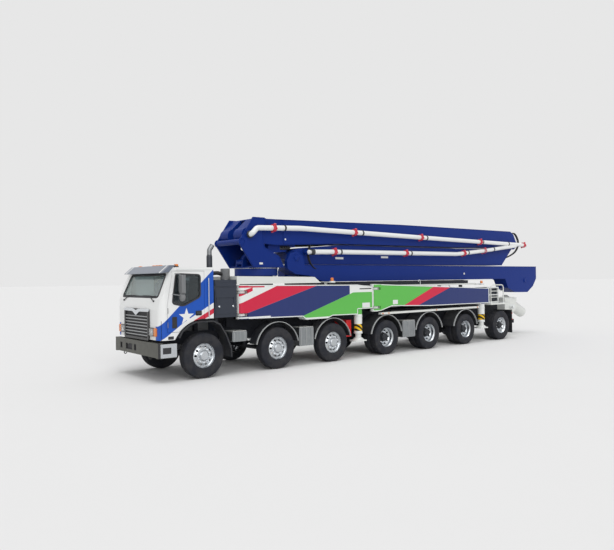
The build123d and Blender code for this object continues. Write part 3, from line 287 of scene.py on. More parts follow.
def lofted(outlines: list[tuple[np.ndarray, float]], axis: str) -> np.ndarray:
    """A grid of outlines in the two other axes (y z, x z or x y), each at its place along an axis."""
    rows = [np.column_stack([np.full(len(line), place), line]) for line, place in outlines]
    return np.stack(rows)[..., {"X": (0, 1, 2), "Y": (1, 0, 2), "Z": (1, 2, 0)}[axis]]


def prism(outline: list | np.ndarray, low: float, high: float, axis: str = "X") -> Shell:
    """A flat outline carried from low to high along an axis, its ends shut."""
    flat = np.asarray(outline, float)
    return Shell.grid(lofted([(flat, low), (flat, high)], axis), shut=True)


def oblong(low: Pair, high: Pair, cut: float = 0.0) -> np.ndarray:
    """A rectangle's outline, its corners rounded where cut is given."""
    corners = np.array([low, (high[0], low[1]), high, (low[0], high[1])], float)
    return softened(corners, cut) if cut else corners


def plate(low: Pair, high: Pair, start: float, end: float, axis: str = "X", cut: float = 0.0) -> Shell:
    """A rectangle with corners rounded by cut, carried from start to end along an axis."""
    return prism(oblong(low, high, cut), start, end, axis)


def slats(low: Pair, high: Pair, pitch: float, tall: float, start: float, end: float) -> list[Shell]:
    """Flat bars over one another between two corners, pitch apart and tall high, from start to end along x."""
    return [plate((low[0], z), (high[0], z + tall), start, end) for z in np.arange(low[1], high[1], pitch)]


def ring(outer: Box, inner: Box, start: float, end: float, axis: str = "X") -> Shell:
    """A flat frame between two rounded rectangles, carried from start to end along an axis."""
    outside, inside = oblong(*outer), oblong(*inner)
    rows = [(outside, start), (outside, end), (inside, end), (inside, start)]
    return Shell.grid(lofted(rows, axis), round_u=True)


def hoop(inner: float, outer: float, low: float, high: float, centre: Point, axis: str = "X", steps: int = 40) -> Shell:
    """A hoop between two radii and two heights along its axis, its outer corners cut."""
    cut = 0.25 * min(outer - inner, high - low)
    section = [(inner, low), (outer - cut, low), (outer, low + cut), (outer, high - cut), (outer - cut, high),
               (inner, high), (inner, low)]
    return turned(section, centre, axis, steps)


def pebble(centre: Point, half: Point, power: float = 4.0, steps: int = 20) -> Shell:
    """A rounded block: a sphere's angles raised so that its sides flatten.

    With a = latitude and b = longitude, each cosine and sine keeps its sign and is
    raised to 2 / power: x = half * cos a * cos b, y = half * cos a * sin b, z = half * sin a.

    Args:
        centre: The block's middle.
        half: Half its size each way.
        power: 2 gives an ellipsoid, more a squarer block.
        steps: The number of places round it.

    Returns:
        The closed surface.
    """
    a = np.linspace(-np.pi / 2, np.pi / 2, steps // 2 + 1)[:, None]
    b = np.linspace(-np.pi, np.pi, steps, endpoint=False)[None]
    waves = (np.cos(a), np.sin(a), np.cos(b), np.sin(b))
    level, rise, across, along = (np.sign(wave) * np.abs(wave) ** (2 / power) for wave in waves)
    points = np.stack([half[0] * level * across, half[1] * level * along,
                       np.broadcast_to(half[2] * rise, (a.size, b.size))], -1)
    return Shell.grid(points + np.array(centre))


def ring_places(centre: Point, radius: float, count: int, axis: str = "X", start: float = 0.0) -> np.ndarray:
    """Places evenly round a circle square to an axis, the first at start radians."""
    return turned([(radius, 0)], centre, axis, count, start).points


def bolts(places: np.ndarray | list, axis: str, radius: float, height: float) -> Shell:
    """Hexagon heads at places, each a six-sided profile turned about the axis.

    Args:
        places: The points where the heads start, (n, 3).
        axis: X, Y or Z.
        radius: The head's radius.
        height: How far it stands up along the axis; negative stands the other way.

    Returns:
        All the heads.
    """
    head = turned([(radius, 0), (radius, 0.75 * height), (0.8 * radius, height), (0, height)], axis=axis, steps=6)
    many = np.asarray(places, float)
    points = (many[:, None] + head.points[None]).reshape(-1, 3)
    quads = (np.arange(len(many))[:, None, None] * len(head.points) + head.quads[None]).reshape(-1, 4)
    return Shell(points, quads, np.zeros(len(quads), int))


def bolt_ring(centre: Point, pitch: float, count: int, radius: float, height: float, axis: str = "X") -> Shell:
    """Hexagon heads evenly round a circle square to an axis."""
    return bolts(ring_places(centre, pitch, count, axis), axis, radius, height)


# Finishes


class Value:
    """A number that varies over a surface: an output socket whose operators add Math nodes."""

    def __init__(self, shop: "Shader", socket: bpy.types.NodeSocket) -> None:
        """Keeps the socket and the shader that it belongs to."""
        self.shop, self.socket = shop, socket

    def maths(self, operation: str, *others: "Value | float", clamp: bool = False) -> "Value":
        """One Math node with this value first."""
        return self.shop.maths(operation, self, *others, clamp=clamp)

    def __add__(self, other: "Value | float") -> "Value":
        """This plus other."""
        return self.maths("ADD", other)

    def __sub__(self, other: "Value | float") -> "Value":
        """This less other."""
        return self.maths("SUBTRACT", other)

    def __rsub__(self, other: float) -> "Value":
        """Other less this."""
        return self.shop.maths("SUBTRACT", other, self)

    def __mul__(self, other: "Value | float") -> "Value":
        """This times other."""
        return self.maths("MULTIPLY", other)

    __radd__, __rmul__ = __add__, __mul__

    def __pow__(self, power: float) -> "Value":
        """This raised to a power."""
        return self.maths("POWER", power)

    def __abs__(self) -> "Value":
        """This without its sign."""
        return self.maths("ABSOLUTE")

    def held(self) -> "Value":
        """This kept between 0 and 1."""
        return self.maths("ADD", 0.0, clamp=True)

    def past(self, edge: float, soft: float = 0.004) -> "Value":
        """1 where this is more than edge, 0 below it, with a soft step between."""
        return ((self - edge) * (1 / soft) + 0.5).held()

    def within(self, low: float, high: float) -> "Value":
        """1 between low and high, 0 outside."""
        return self.past(low) * (1 - self.past(high))

    def wave(self, rate: float) -> "Value":
        """The sine of this times rate."""
        return (self * rate).maths("SINE")


Socket = bpy.types.NodeSocket
Shade = Tone | Socket


class Shader:
    """Builds the nodes of one material or world."""

    def __init__(self, owner: bpy.types.Material | bpy.types.World) -> None:
        """Clears the owner's nodes."""
        self.owner = owner
        owner.use_nodes = True
        self.tree = owner.node_tree
        self.tree.nodes.clear()

    def node(self, kind: str, settings: dict | None = None, inputs: dict | None = None) -> bpy.types.Node:
        """Adds a node.

        Args:
            kind: The node's type.
            settings: Its own settings, set first.
            inputs: Values or links for its sockets, by name or number.

        Returns:
            The node.
        """
        made = self.tree.nodes.new(kind)
        for name, value in (settings or {}).items():
            setattr(made, name, value)
        for name, value in (inputs or {}).items():
            socket = made.inputs[name]
            if isinstance(value, (Value, Socket)):
                self.tree.links.new(getattr(value, "socket", value), socket)
            else:
                socket.default_value = (*value, 1) if socket.type == "RGBA" else value
        return made

    def maths(self, operation: str, *numbers: Value | float, clamp: bool = False) -> Value:
        """One Math node over up to three numbers."""
        made = self.node("ShaderNodeMath", {"operation": operation, "use_clamp": clamp}, dict(enumerate(numbers)))
        return Value(self, made.outputs[0])

    def place(self) -> tuple[Value, Value, Value]:
        """The x, y and z of the surface on the truck at rest, y from the first axle."""
        where = self.node("ShaderNodeTexCoord").outputs["Object"]
        split = self.node("ShaderNodeSeparateXYZ", None, {0: where})
        x, y, z = (Value(self, split.outputs[i]) for i in range(3))
        return x, y - FIRST_AXLE, z

    def where(self, scale: Point) -> Socket:
        """The place on the truck, stretched by scale."""
        spot = self.node("ShaderNodeTexCoord").outputs["Object"]
        return self.node("ShaderNodeMapping", None, {"Vector": spot, "Scale": scale}).outputs[0]

    def noise(self, scale: float, stretch: Point = (1, 1, 1), detail: float = 3.0, rough: float = 0.5) -> Value:
        """Cloudy noise from 0 to 1.

        Args:
            scale: How many clouds a metre.
            stretch: More or fewer each way.
            detail: How many finer layers lie over it.
            rough: How strong the finer layers are.

        Returns:
            The noise.
        """
        made = self.node("ShaderNodeTexNoise", None, {"Vector": self.where(stretch), "Scale": scale, "Detail": detail,
                                                      "Roughness": rough})
        return Value(self, made.outputs["Fac"])

    def grains(self, scale: float) -> Value:
        """The distance to the nearest of many scattered points."""
        made = self.node("ShaderNodeTexVoronoi", None, {"Vector": self.where((1, 1, 1)), "Scale": scale})
        return Value(self, made.outputs["Distance"])

    def mixed(self, mask: Value | float, first: Shade, second: Shade, how: str = "MIX") -> Socket:
        """First where mask is 0, second where it is 1, or both blended another way."""
        made = self.node("ShaderNodeMix", {"data_type": "RGBA", "blend_type": how}, {0: mask, 6: first, 7: second})
        return made.outputs[2]

    def bump(self, height: Value, depth: float, under: Socket | None = None) -> Socket:
        """Relief from a height, its depth in metres, over a coarser relief where one is given."""
        inputs = {"Height": height, "Distance": depth, "Strength": 1.0} | ({} if under is None else {"Normal": under})
        return self.node("ShaderNodeBump", None, inputs).outputs[0]

    def surface(self, **inputs: object) -> None:
        """Closes the material with a Principled shader; its inputs have _ for a space."""
        named = {key.replace("_", " "): value for key, value in inputs.items()}
        shader = self.node("ShaderNodeBsdfPrincipled", None, named)
        self.node("ShaderNodeOutputMaterial", None, {"Surface": shader.outputs[0]})


@dataclass(frozen=True)
class Coating:
    """What every finish has.

    Attributes:
        name: The finish's name.
        slot: The name of a slot kept with the finish; put() falls back on it and uses it no further.
        colour: Its colour.
        rough: Its roughness.
    """

    name: str
    slot: str
    colour: Tone
    rough: float = 0.38

    def make(self, shop: Shader) -> None:
        """Builds the material; each kind of finish has its own way."""
        raise NotImplementedError


@dataclass(frozen=True)
class Paint(Coating):
    """Sprayed paint under clear lacquer, with a little road dust.

    Attributes:
        coat: How much lacquer lies on it.
        dust: How much dust settles low down and in patches.
        dirt: The dust's colour.
        gloss: How strongly it mirrors, as the shader's specular level.
    """

    coat: float = 0.5
    dust: float = 0.12
    dirt: Tone = tone(150, 144, 134)
    gloss: float = 0.5

    def pattern(self, shop: Shader) -> Shade:
        """The paint's colour over the surface; a livery overrides it."""
        return self.colour

    def make(self, shop: Shader) -> None:
        """Mixes the paint, its slow patches, dust, streaks and fine ripple."""
        cloud, streak = shop.noise(2.3, (1, 1, 1), 5), shop.noise(5.0, (1.6, 1.6, 0.16), 4, 0.6)
        low = (1 - shop.place()[2] * 0.8).held()
        dusty = ((cloud * 0.55 + streak * 0.75 - 0.42).held() * self.dust * (0.5 + low)).held()
        plain = self.pattern(shop)
        deeper = shop.mixed(1.0, plain, (0.86, 0.87, 0.89), "MULTIPLY")
        shade = shop.mixed((shop.noise(0.9) - 0.3).held() * 0.5, plain, deeper)
        relief = shop.bump(shop.noise(160, detail=2), 0.0003, shop.bump(shop.noise(7, detail=2), 0.0018))
        shop.surface(Base_Color=shop.mixed(dusty, shade, self.dirt),
                     Roughness=(self.rough + dusty * 0.5 + cloud * 0.08).held(), Coat_Weight=self.coat * (1 - dusty),
                     Coat_Roughness=0.08, Specular_IOR_Level=self.gloss, Normal=relief)


@dataclass(frozen=True)
class Metal(Coating):
    """Bare metal, brushed, cast or polished.

    Attributes:
        grain: How many brush marks a metre.
        stretch: How the marks run.
        depth: Their depth.
        grime: How much of it is dulled.
    """

    grain: float = 90.0
    stretch: Point = (1, 1, 1)
    depth: float = 0.0002
    grime: float = 0.25

    def film(self, shop: Shader, scale: float, clean: float) -> Value:
        """The dull patches, of a size and with a share left clean."""
        return (shop.noise(scale, detail=5, rough=0.6) - clean).held() * 2 * self.grime

    def make(self, shop: Shader) -> None:
        """Mixes the metal, its marks and its dull patches."""
        marks, film = shop.noise(self.grain, self.stretch, 4, 0.6), self.film(shop, 6, 0.42)
        shop.surface(Base_Color=shop.mixed(film.held(), self.colour, scaled(self.colour, 0.45)),
                     Roughness=(self.rough + marks * 0.12 + film * 0.6).held(), Metallic=1.0 - film * 0.5,
                     Normal=shop.bump(marks, self.depth))


@dataclass(frozen=True)
class Moulding(Coating):
    """Moulded plastic or rubber with a fine grain and a film of dust.

    Attributes:
        grain: How many grains a metre.
        depth: Their depth.
        dust: How much dust lies on it.
        sheen: How strongly it mirrors, as the shader's specular level.
    """

    grain: float = 260.0
    depth: float = 0.0006
    dust: float = 0.25
    sheen: float = 0.4

    def film(self, shop: Shader) -> Value:
        """The dust."""
        return ((shop.noise(4, detail=5, rough=0.6) - 0.4) * 2).held() * self.dust

    def make(self, shop: Shader) -> None:
        """Mixes the colour, its grain and its dust."""
        grain, film = shop.grains(self.grain), self.film(shop)
        shop.surface(Base_Color=shop.mixed(film, self.colour, tone(128, 122, 112)),
                     Roughness=(self.rough + film * 0.4 + grain * 0.1).held(), Specular_IOR_Level=self.sheen,
                     Normal=shop.bump(grain, self.depth))


@dataclass(frozen=True)
class Glazing(Coating):
    """Window glass or a clear cover, tinted, with a faint film."""

    def make(self, shop: Shader) -> None:
        """Mixes the glass and the film on it."""
        film = shop.noise(3, (1, 1, 0.4), 4)
        colour = shop.mixed((film - 0.35).held() * 0.5, self.colour, scaled(self.colour, 0.8))
        shop.surface(Base_Color=colour, Roughness=0.02 + (film - 0.5).held() * 0.12, Transmission_Weight=0.85, IOR=1.45,
                     Normal=shop.bump(film, 0.00008))


@dataclass(frozen=True)
class Lens(Coating):
    """A moulded lamp lens, with a number of upright flutes a metre."""

    flutes: float = 70.0

    def make(self, shop: Shader) -> None:
        """Mixes the lens and its flutes."""
        x, y, _ = shop.place()
        wave, mottle = (x + y + FIRST_AXLE).wave(2 * math.pi * self.flutes), shop.noise(30)
        colour = shop.mixed((wave * 0.25 + mottle * 0.5).held(), self.colour, scaled(self.colour, 0.55))
        shop.surface(Base_Color=colour, Roughness=0.12 + mottle * 0.1, Coat_Weight=0.6 + mottle * 0.2,
                     Specular_IOR_Level=0.6, Normal=shop.bump(wave * 0.5 + 0.5, 0.002))


def beyond(y: Value, z: Value, first: Pair, second: Pair) -> Value:
    """1 to the left of the line from first to second, 0 to its right, with y to the right and z up.

    It is the place's distance along the line's left normal, past 0:
    (dy * (z - z0) - dz * (y - y0)) / length.
    """
    dy, dz = second[0] - first[0], second[1] - first[1]
    length = math.hypot(dy, dz)
    return ((z - first[1]) * (dy / length) - (y - first[0]) * (dz / length)).past(0.0)


@dataclass(frozen=True)
class CabLivery(Paint):
    """White cab paint with a blue band, a star and a red stripe on each side."""

    blue: Tone = tone(16, 80, 180)
    red: Tone = tone(205, 40, 66)
    star: Pair = (-0.455, 1.468)
    star_size: float = 0.2
    mirror_grey: Tone = tone(120, 122, 124)
    trim_black: Tone = tone(24, 25, 28)

    def pattern(self, shop: Shader) -> Socket:
        """Lays the band, the star and the stripe over the white by place on the cab's side."""
        x, y, z = shop.place()
        side = abs(x).past(1.0, 0.01)
        rear = y.past(-0.507)
        under = (1 - beyond(y, z, (-1.026, 0.985), (-0.507, 1.345))) * (1 - rear)
        under = under + (1 - beyond(y, z, (-0.507, 1.345), (0.268, 1.771))) * rear
        band = (1 - beyond(y, z, (-1.23, 1.15), (0.193, 2.49))) * (1 - under.held()) * side
        stripe = (1 - beyond(y, z, (-0.235, 1.385), (0.268, 1.64))) * beyond(y, z, (0.0, 1.385), (0.268, 1.52))
        handle = abs(x).past(1.2365, 0.0005) * y.within(-0.212, -0.078) * z.within(1.493, 1.582)
        colour = self.colour
        for mask, shade in ((band, self.blue), (stripe * y.past(-0.26) * side, self.red),
                            (self.star_mask(y, z) * side, self.colour), (abs(x).past(1.262, 0.002), self.mirror_grey),
                            (handle, self.trim_black)):
            colour = shop.mixed(mask.held(), colour, shade)
        return colour

    def star_mask(self, y: Value, z: Value) -> Value:
        """A five-pointed star: with the angle folded into half a point, 1 inside the point's edge."""
        across, up = y - self.star[0], z - self.star[1]
        reach = (across * across + up * up) ** 0.5
        folded = abs(across.maths("ARCTAN2", up).maths("PINGPONG", math.pi / 5))
        inner = 0.40 * self.star_size
        notch = (inner * math.sin(math.pi / 5), inner * math.cos(math.pi / 5))
        return 1 - beyond(reach * folded.maths("SINE"), reach * folded.maths("COSINE"), (0.0, self.star_size), notch)


@dataclass(frozen=True)
class PanelLivery(Paint):
    """An outrigger panel's white with coloured fields on its outer face, and stripes on its jack's sleeve."""

    navy: Tone = tone(42, 55, 110)
    red: Tone = tone(208, 42, 72)
    green: Tone = tone(98, 186, 84)
    black: Tone = tone(22, 22, 24)
    yellow: Tone = tone(236, 190, 24)
    outer_face: float = 1.19
    sleeve: Pair = (0.78, 0.98)
    stripe_pitch: float = 0.13

    def laid(self, shop: Shader, fields: list[tuple[Value | float, Tone]], rim: Value) -> Socket:
        """Lays fields over the white in turn, then the rim, then the sleeve's black and yellow stripes.

        The stripes are the sine of z + 0.8 y, cut at zero.

        Args:
            shop: The shader.
            fields: Each field's mask and colour.
            rim: Where the panel's frame stays white.

        Returns:
            The panel's colour.
        """
        x, y, z = shop.place()
        outer, colour = abs(x).past(self.outer_face), self.colour
        for mask, shade in fields:
            colour = shop.mixed((outer * mask).held(), colour, shade)
        wave = (z + (y + FIRST_AXLE) * 0.8).wave(2 * math.pi / self.stripe_pitch).past(0.0, 0.05)
        stripes = shop.mixed(wave, self.black, self.yellow)
        return shop.mixed(z.within(*self.sleeve), shop.mixed(rim.held(), colour, self.colour), stripes)


@dataclass(frozen=True)
class FrontPanelLivery(PanelLivery):
    """The front outrigger panel: red, white and navy stripes rising to the rear, green at its end."""

    def pattern(self, shop: Shader) -> Socket:
        """Lays the stripes over the white by place along the panel."""
        _, y, z = shop.place()
        red_low = beyond(y, z, (1.171, 1.462), (3.575, 2.15))
        navy_low = beyond(y, z, (2.98, 1.325), (4.669, 1.857))
        red = (1 - beyond(y, z, (0.934, 1.688), (2.171, 2.154))) * red_low
        navy = (1 - red_low) * navy_low * (1 - y.past(4.67))
        green = (1 - navy_low) * (1 - z.past(1.9))
        upper = (1 - beyond(y, z, (0.93, 1.985), (1.64, 2.185))) * beyond(y, z, (0.93, 1.86), (1.64, 2.12))
        upper = upper * (1 - y.past(1.36)) + z.within(2.10, 2.15) * (1 - y.past(1.72))
        gap = z.within(1.34, 1.375) * (1 - y.past(1.9))
        foot = (1 - z.past(1.34)) * (1 - y.past(3.0)) * (1 - green)
        fields = [(red, self.red), (upper, self.red), (navy, self.navy), (green, self.green), (gap, self.colour),
                  (foot, self.navy)]
        return self.laid(shop, fields, z.past(2.15) + (1 - z.past(1.262)))


@dataclass(frozen=True)
class RearPanelLivery(PanelLivery):
    """The rear outrigger panel: green, a red stripe and navy."""

    def pattern(self, shop: Shader) -> Socket:
        """Lays the fields side by side by place along the panel."""
        _, y, z = shop.place()
        fields = [(1.0, self.green), (1 - beyond(y, z, (6.863, 1.41), (8.593, 2.07)), self.red),
                  (1 - beyond(y, z, (7.591, 1.41), (9.605, 2.07)), self.navy)]
        return self.laid(shop, fields, (z.past(2.108) + (1 - z.past(1.345))) * (1 - y.past(11.6)))


@dataclass(frozen=True)
class ArchPaint(Moulding):
    """Black plastic mudguards, with pale grey outer rims over the axles behind the cab."""

    pale: Tone = tone(200, 203, 204)

    def make(self, shop: Shader) -> None:
        """Mixes black plastic and pale metal bands."""
        x, y, _ = shop.place()
        film, behind = self.film(shop), y.past(1.3) * (1 - y.past(12.8)) * abs(x).past(1.2, 0.003)
        colour = shop.mixed(film, shop.mixed(behind, self.colour, self.pale), tone(118, 114, 106))
        shop.surface(Base_Color=colour, Roughness=(0.5 - behind * 0.15 + film * 0.4).held(), Metallic=behind * 0.25,
                     Normal=shop.bump(shop.grains(self.grain), self.depth))


@dataclass(frozen=True)
class LinePaint(Paint):
    """The delivery line's white, its brackets in the boom's blue and its hoses in black rubber."""

    blue: Tone = tone(6, 43, 124)
    rubber: Tone = tone(20, 21, 25)

    def pattern(self, shop: Shader) -> Socket:
        """Lays blue and then black over the white by how far out a place is."""
        x = shop.place()[0]
        return shop.mixed(x.past(0.3, 0.002), self.rubber, shop.mixed(x.past(0.66, 0.002), self.blue, self.colour))


@dataclass(frozen=True)
class PedestalPaint(Paint):
    """Chassis black, with the slewing ring's flange in the boom's blue and the outriggers' lugs in white."""

    blue: Tone = tone(6, 43, 124)
    white: Tone = tone(226, 228, 226)

    def pattern(self, shop: Shader) -> Socket:
        """Lays blue over the black by height and white by how far out a place is."""
        x, _, z = shop.place()
        colour = shop.mixed(z.past(2.39, 0.002), self.colour, self.blue)
        return shop.mixed((abs(x).past(0.90, 0.002) * z.past(1.35)).held(), colour, self.white)


@dataclass(frozen=True)
class TreadPlate(Metal):
    """Chequered plate: short raised bars, every other one turned a quarter."""

    pitch: float = 0.05

    def make(self, shop: Shader) -> None:
        """Mixes the plate and its bars, each a stretched bump in a square grid."""
        x, y, _ = shop.place()
        both = [way.wave(2 * math.pi / self.pitch) for way in (x + (y + FIRST_AXLE), x - (y + FIRST_AXLE))]
        crossed = both[0] * both[1]
        bars = (crossed.past(0.55, 0.4) * 0.8 + (crossed * -1.0).past(0.75, 0.3) * 0.8).held()
        film = self.film(shop, 5, 0.4)
        colour = shop.mixed((film * (1 - bars * 0.6)).held(), self.colour, scaled(self.colour, 0.4))
        shop.surface(Base_Color=colour, Roughness=(self.rough + film * 0.5 - bars * 0.12).held(),
                     Metallic=(0.5 - film * 0.3).held(),
                     Normal=shop.bump(bars, 0.003, shop.bump(shop.noise(self.grain), self.depth)))


@dataclass(frozen=True)
class Mesh(Moulding):
    """A dark plate with rows of round holes painted near-black, the painted shade seen through them."""

    pitch: float = 0.015

    def make(self, shop: Shader) -> None:
        """Mixes the plate and its holes, a pitch apart; the holes are painted near-black as shade."""
        x, _, z = shop.place()
        across, up = (way.wave(math.pi / self.pitch) for way in (x, z))
        # The holes are painted, not cut: a near-black colour stands for the shade seen through them.
        hole = (across * across * up * up).past(0.35, 0.3)
        shop.surface(Base_Color=shop.mixed(hole, self.colour, scaled(self.colour, 0.15)),
                     Roughness=(0.5 + hole * 0.4).held(), Normal=shop.bump(1 - hole, 0.003))


@dataclass(frozen=True)
class TankMetal(Metal):
    """Ribbed side tanks in bright metal, and the red locker among them."""

    red: Tone = tone(216, 30, 36)
    red_part: Pair = (4.6, 5.1)
    ribs: float = 11.0

    def make(self, shop: Shader) -> None:
        """Mixes the metal, its upright ribs and the red locker."""
        y = shop.place()[1]
        locker, film = y.within(*self.red_part), self.film(shop, 5, 0.4)
        marks = shop.noise(self.grain, self.stretch, 4, 0.6)
        colour = shop.mixed(locker, shop.mixed(film.held(), self.colour, scaled(self.colour, 0.4)), self.red)
        relief = shop.bump(y.wave(2 * math.pi * self.ribs) * 0.5 + 0.5, 0.006, shop.bump(marks, self.depth))
        shop.surface(Base_Color=colour, Roughness=(self.rough + film * 0.5 + marks * 0.1).held(),
                     Metallic=(1 - locker) * (1 - film * 0.4), Normal=relief)


class Finish(Enum):
    """Every finish on the truck."""

    BOOM = Paint("boom_blue_paint", "boom_blue", tone(6, 43, 124), 0.42, 0.04, 0.03, gloss=0.16)
    WHITE = Paint("white_paint", "body_white", tone(226, 229, 228), 0.36, 0.5, 0.14)
    DECK = Paint("deck_paint", "body_white", tone(222, 224, 220), 0.45, 0.3, 0.22)
    CAB = CabLivery("cab_livery", "body_white", tone(234, 235, 234), 0.3, 0.12, 0.05, gloss=0.3)
    FRONT_PANEL = FrontPanelLivery("front_panel_livery", "panel_paint", tone(232, 234, 232), 0.36, 0.08, 0.06,
                                   gloss=0.2)
    REAR_PANEL = RearPanelLivery("rear_panel_livery", "panel_paint", tone(232, 234, 232), 0.36, 0.08, 0.06, gloss=0.2)
    LEG = Paint("leg_paint", "body_white", tone(226, 228, 226), 0.4, 0.4, 0.15)
    PIPE = LinePaint("pipe_paint", "pipe_white", tone(232, 234, 233), 0.3, 0.6, 0.06)
    RED = Paint("coupling_red_paint", "coupling_red", tone(206, 46, 66), 0.4, 0.4, 0.1)
    CHASSIS = Paint("chassis_black_paint", "chassis_black", tone(28, 31, 40), 0.5, 0.0, 0.35, tone(80, 80, 78), 0.25)
    SUBFRAME = PedestalPaint("subframe_paint", "chassis_black", tone(28, 31, 40), 0.5, 0.0, 0.3, tone(80, 80, 78), 0.25)
    CABINET = Paint("cabinet_paint", "chassis_black", tone(46, 52, 64), 0.42, 0.1, 0.08, gloss=0.3)
    VISOR = Paint("visor_paint", "visor_grey", tone(104, 112, 128), 0.35, 0.5, 0.08)
    STICKER = Paint("blank_plate_white", "body_white", tone(236, 236, 232), 0.5, 0.1, 0.1)
    BLACK_METAL = Paint("black_metal", "chassis_black", tone(24, 26, 30), 0.45, 0.3, 0.2)
    BUMPER = Metal("satin_bumper", "steel", tone(104, 104, 99), 0.42, 120, (0.1, 1, 1), 0.0002, 0.25)
    SATIN = Metal("satin_alloy", "steel", tone(168, 170, 172), 0.32, 90, (0.1, 1, 1), 0.0001, 0.2)
    SHADOW_CHROME = Metal("shadow_chrome", "bright", tone(92, 92, 92), 0.25, 60, (1, 1, 1), 0.0001, 0.2)
    STACK = Metal("heat_shield", "steel", tone(78, 80, 86), 0.45, 70, (1, 1, 0.2), 0.0003, 0.5)
    TREAD = TreadPlate("tread_plate", "bright", tone(198, 199, 197), 0.42, 60, (1, 1, 1), 0.0002, 0.5)
    BRIGHT = Metal("chrome", "bright", tone(214, 218, 222), 0.09, 60, (1, 1, 1), 0.00005, 0.1)
    POLISHED = Metal("polished_rim", "polished", tone(200, 204, 208), 0.2, 110, (1, 1, 1), 0.0001, 0.2)
    TANK = TankMetal("tank_metal", "polished", tone(150, 154, 156), 0.32, 80, (1, 1, 0.1), 0.0002, 0.4)
    STEEL = Metal("stack_steel", "steel", tone(140, 142, 144), 0.34, 70, (1, 1, 0.2), 0.0002, 0.35)
    IRON = Metal("engine_iron", "engine_iron", tone(96, 98, 96), 0.55, 60, (1, 1, 1), 0.0009, 0.7)
    ROD = Metal("cylinder_rod", "bright", tone(206, 208, 210), 0.12, 140, (1, 1, 1), 0.00005, 0.1)
    DARK_HUB = Metal("dark_hub", "steel", tone(70, 72, 76), 0.45, 60, (1, 1, 1), 0.0005, 0.5)
    TYRE = Moulding("tyre_rubber", "tyre", tone(38, 40, 47), 0.72, 420, 0.0005, 0.2, 0.25)
    ARCH = ArchPaint("mudguard_plastic", "black_plastic", tone(34, 36, 42), 0.55, 300, 0.0005, 0.25)
    PLASTIC = Moulding("black_plastic", "black_plastic", tone(28, 29, 33), 0.5, 320, 0.0004, 0.15)
    HOSE = Moulding("hose_rubber", "black_plastic", tone(20, 21, 25), 0.55, 500, 0.0003, 0.12)
    MIRROR_GREY = Moulding("mirror_grey", "black_plastic", tone(122, 124, 126), 0.45, 260, 0.0004, 0.2)
    MESH = Mesh("grille_mesh", "black_plastic", tone(20, 21, 24))
    TRIM = Moulding("cab_trim", "trim", tone(60, 62, 68), 0.75, 200, 0.0008, 0.1)
    GLASS = Glazing("cab_glazing", "glass", (0.68, 0.8, 0.77))
    SIDE_GLASS = Glazing("door_glazing", "glass", (0.16, 0.2, 0.22))
    CLEAR = Glazing("lamp_cover", "glass", (0.92, 0.94, 0.95))
    AMBER = Lens("amber_lens", "lamp", tone(236, 128, 16))
    RED_LENS = Lens("red_lens", "lamp", tone(190, 20, 26))
    SILVER = Lens("lamp_reflector", "lamp", tone(214, 218, 220), flutes=40)

    @property
    def material(self) -> bpy.types.Material:
        """The finish's material, made the first time it is asked for."""
        made = bpy.data.materials.get(self.value.name)
        if made is None:
            made = bpy.data.materials.new(self.value.name)
            self.value.make(Shader(made))
        return made


Finishes = Finish | list[Finish]
Shells = Shell | list[Shell]


def put(shell: Shell, name: str, body: str, finishes: Finishes, slot: str = "", sharp: float = 32.0,
        bevel: float = 0.0, outward: bool = True, replaces: tuple[str, ...] = ()) -> None:
    """Makes a piece and lets it ride a body.

    Args:
        shell: Its points and faces.
        name: Its name.
        body: The body that it rides.
        finishes: Its finish, or more in the order of the shell's shades.
        slot: A slot name, where that isn't its first finish's; not used.
        sharp: The angle past which an edge stays sharp.
        bevel: The width of its rounded edges, or 0.
        outward: The faces are turned outwards.
        replaces: The CAD nodes that it stands for.
    """
    finishes = finishes if isinstance(finishes, list) else [finishes]
    slot = slot or finishes[0].value.slot
    piece = bpy.data.objects.new(name, shell.mesh(name, sharp, outward))
    bpy.context.scene.collection.objects.link(piece)
    for finish in finishes:
        piece.data.materials.append(finish.material)
    if bevel:
        edge = piece.modifiers.new("Edges", "BEVEL")
        edge.width, edge.segments = bevel, ROUNDING_STEPS
        edge.limit_method, edge.angle_limit = "ANGLE", ROUNDED_PAST
        edge.harden_normals = False
    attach(piece, body)
    if replaces:
        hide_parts(*replaces)
    LOG.info("%s rides %s with %d faces", name, body, len(piece.data.polygons))


def fit(shells: Shells, name: str, finishes: Finishes, sharp: float = 32.0, bevel: float = 0.0,
        body: str = "chassis", slot: str = "", replaces: tuple[str, ...] = ()) -> None:
    """Puts a piece whose lengths are measured from the first axle; see put for the rest."""
    put(joined(shells).moved(y=FIRST_AXLE), name, body, finishes, slot, sharp, bevel, replaces=replaces)


def fit_pair(shells: Shells, name: str, body: str, finish: Finish, sharp: float = 32.0, bevel: float = 0.0) -> None:
    """Puts a left-hand piece and its mirror image on a left and a right body."""
    left = joined(shells)
    for side, shell in zip(SIDES, (left, left.mirrored())):
        fit(shell, f"{name}_{side}", finish, sharp, bevel, f"{body}_{side}")


# The photograph's camera, the floor and the light


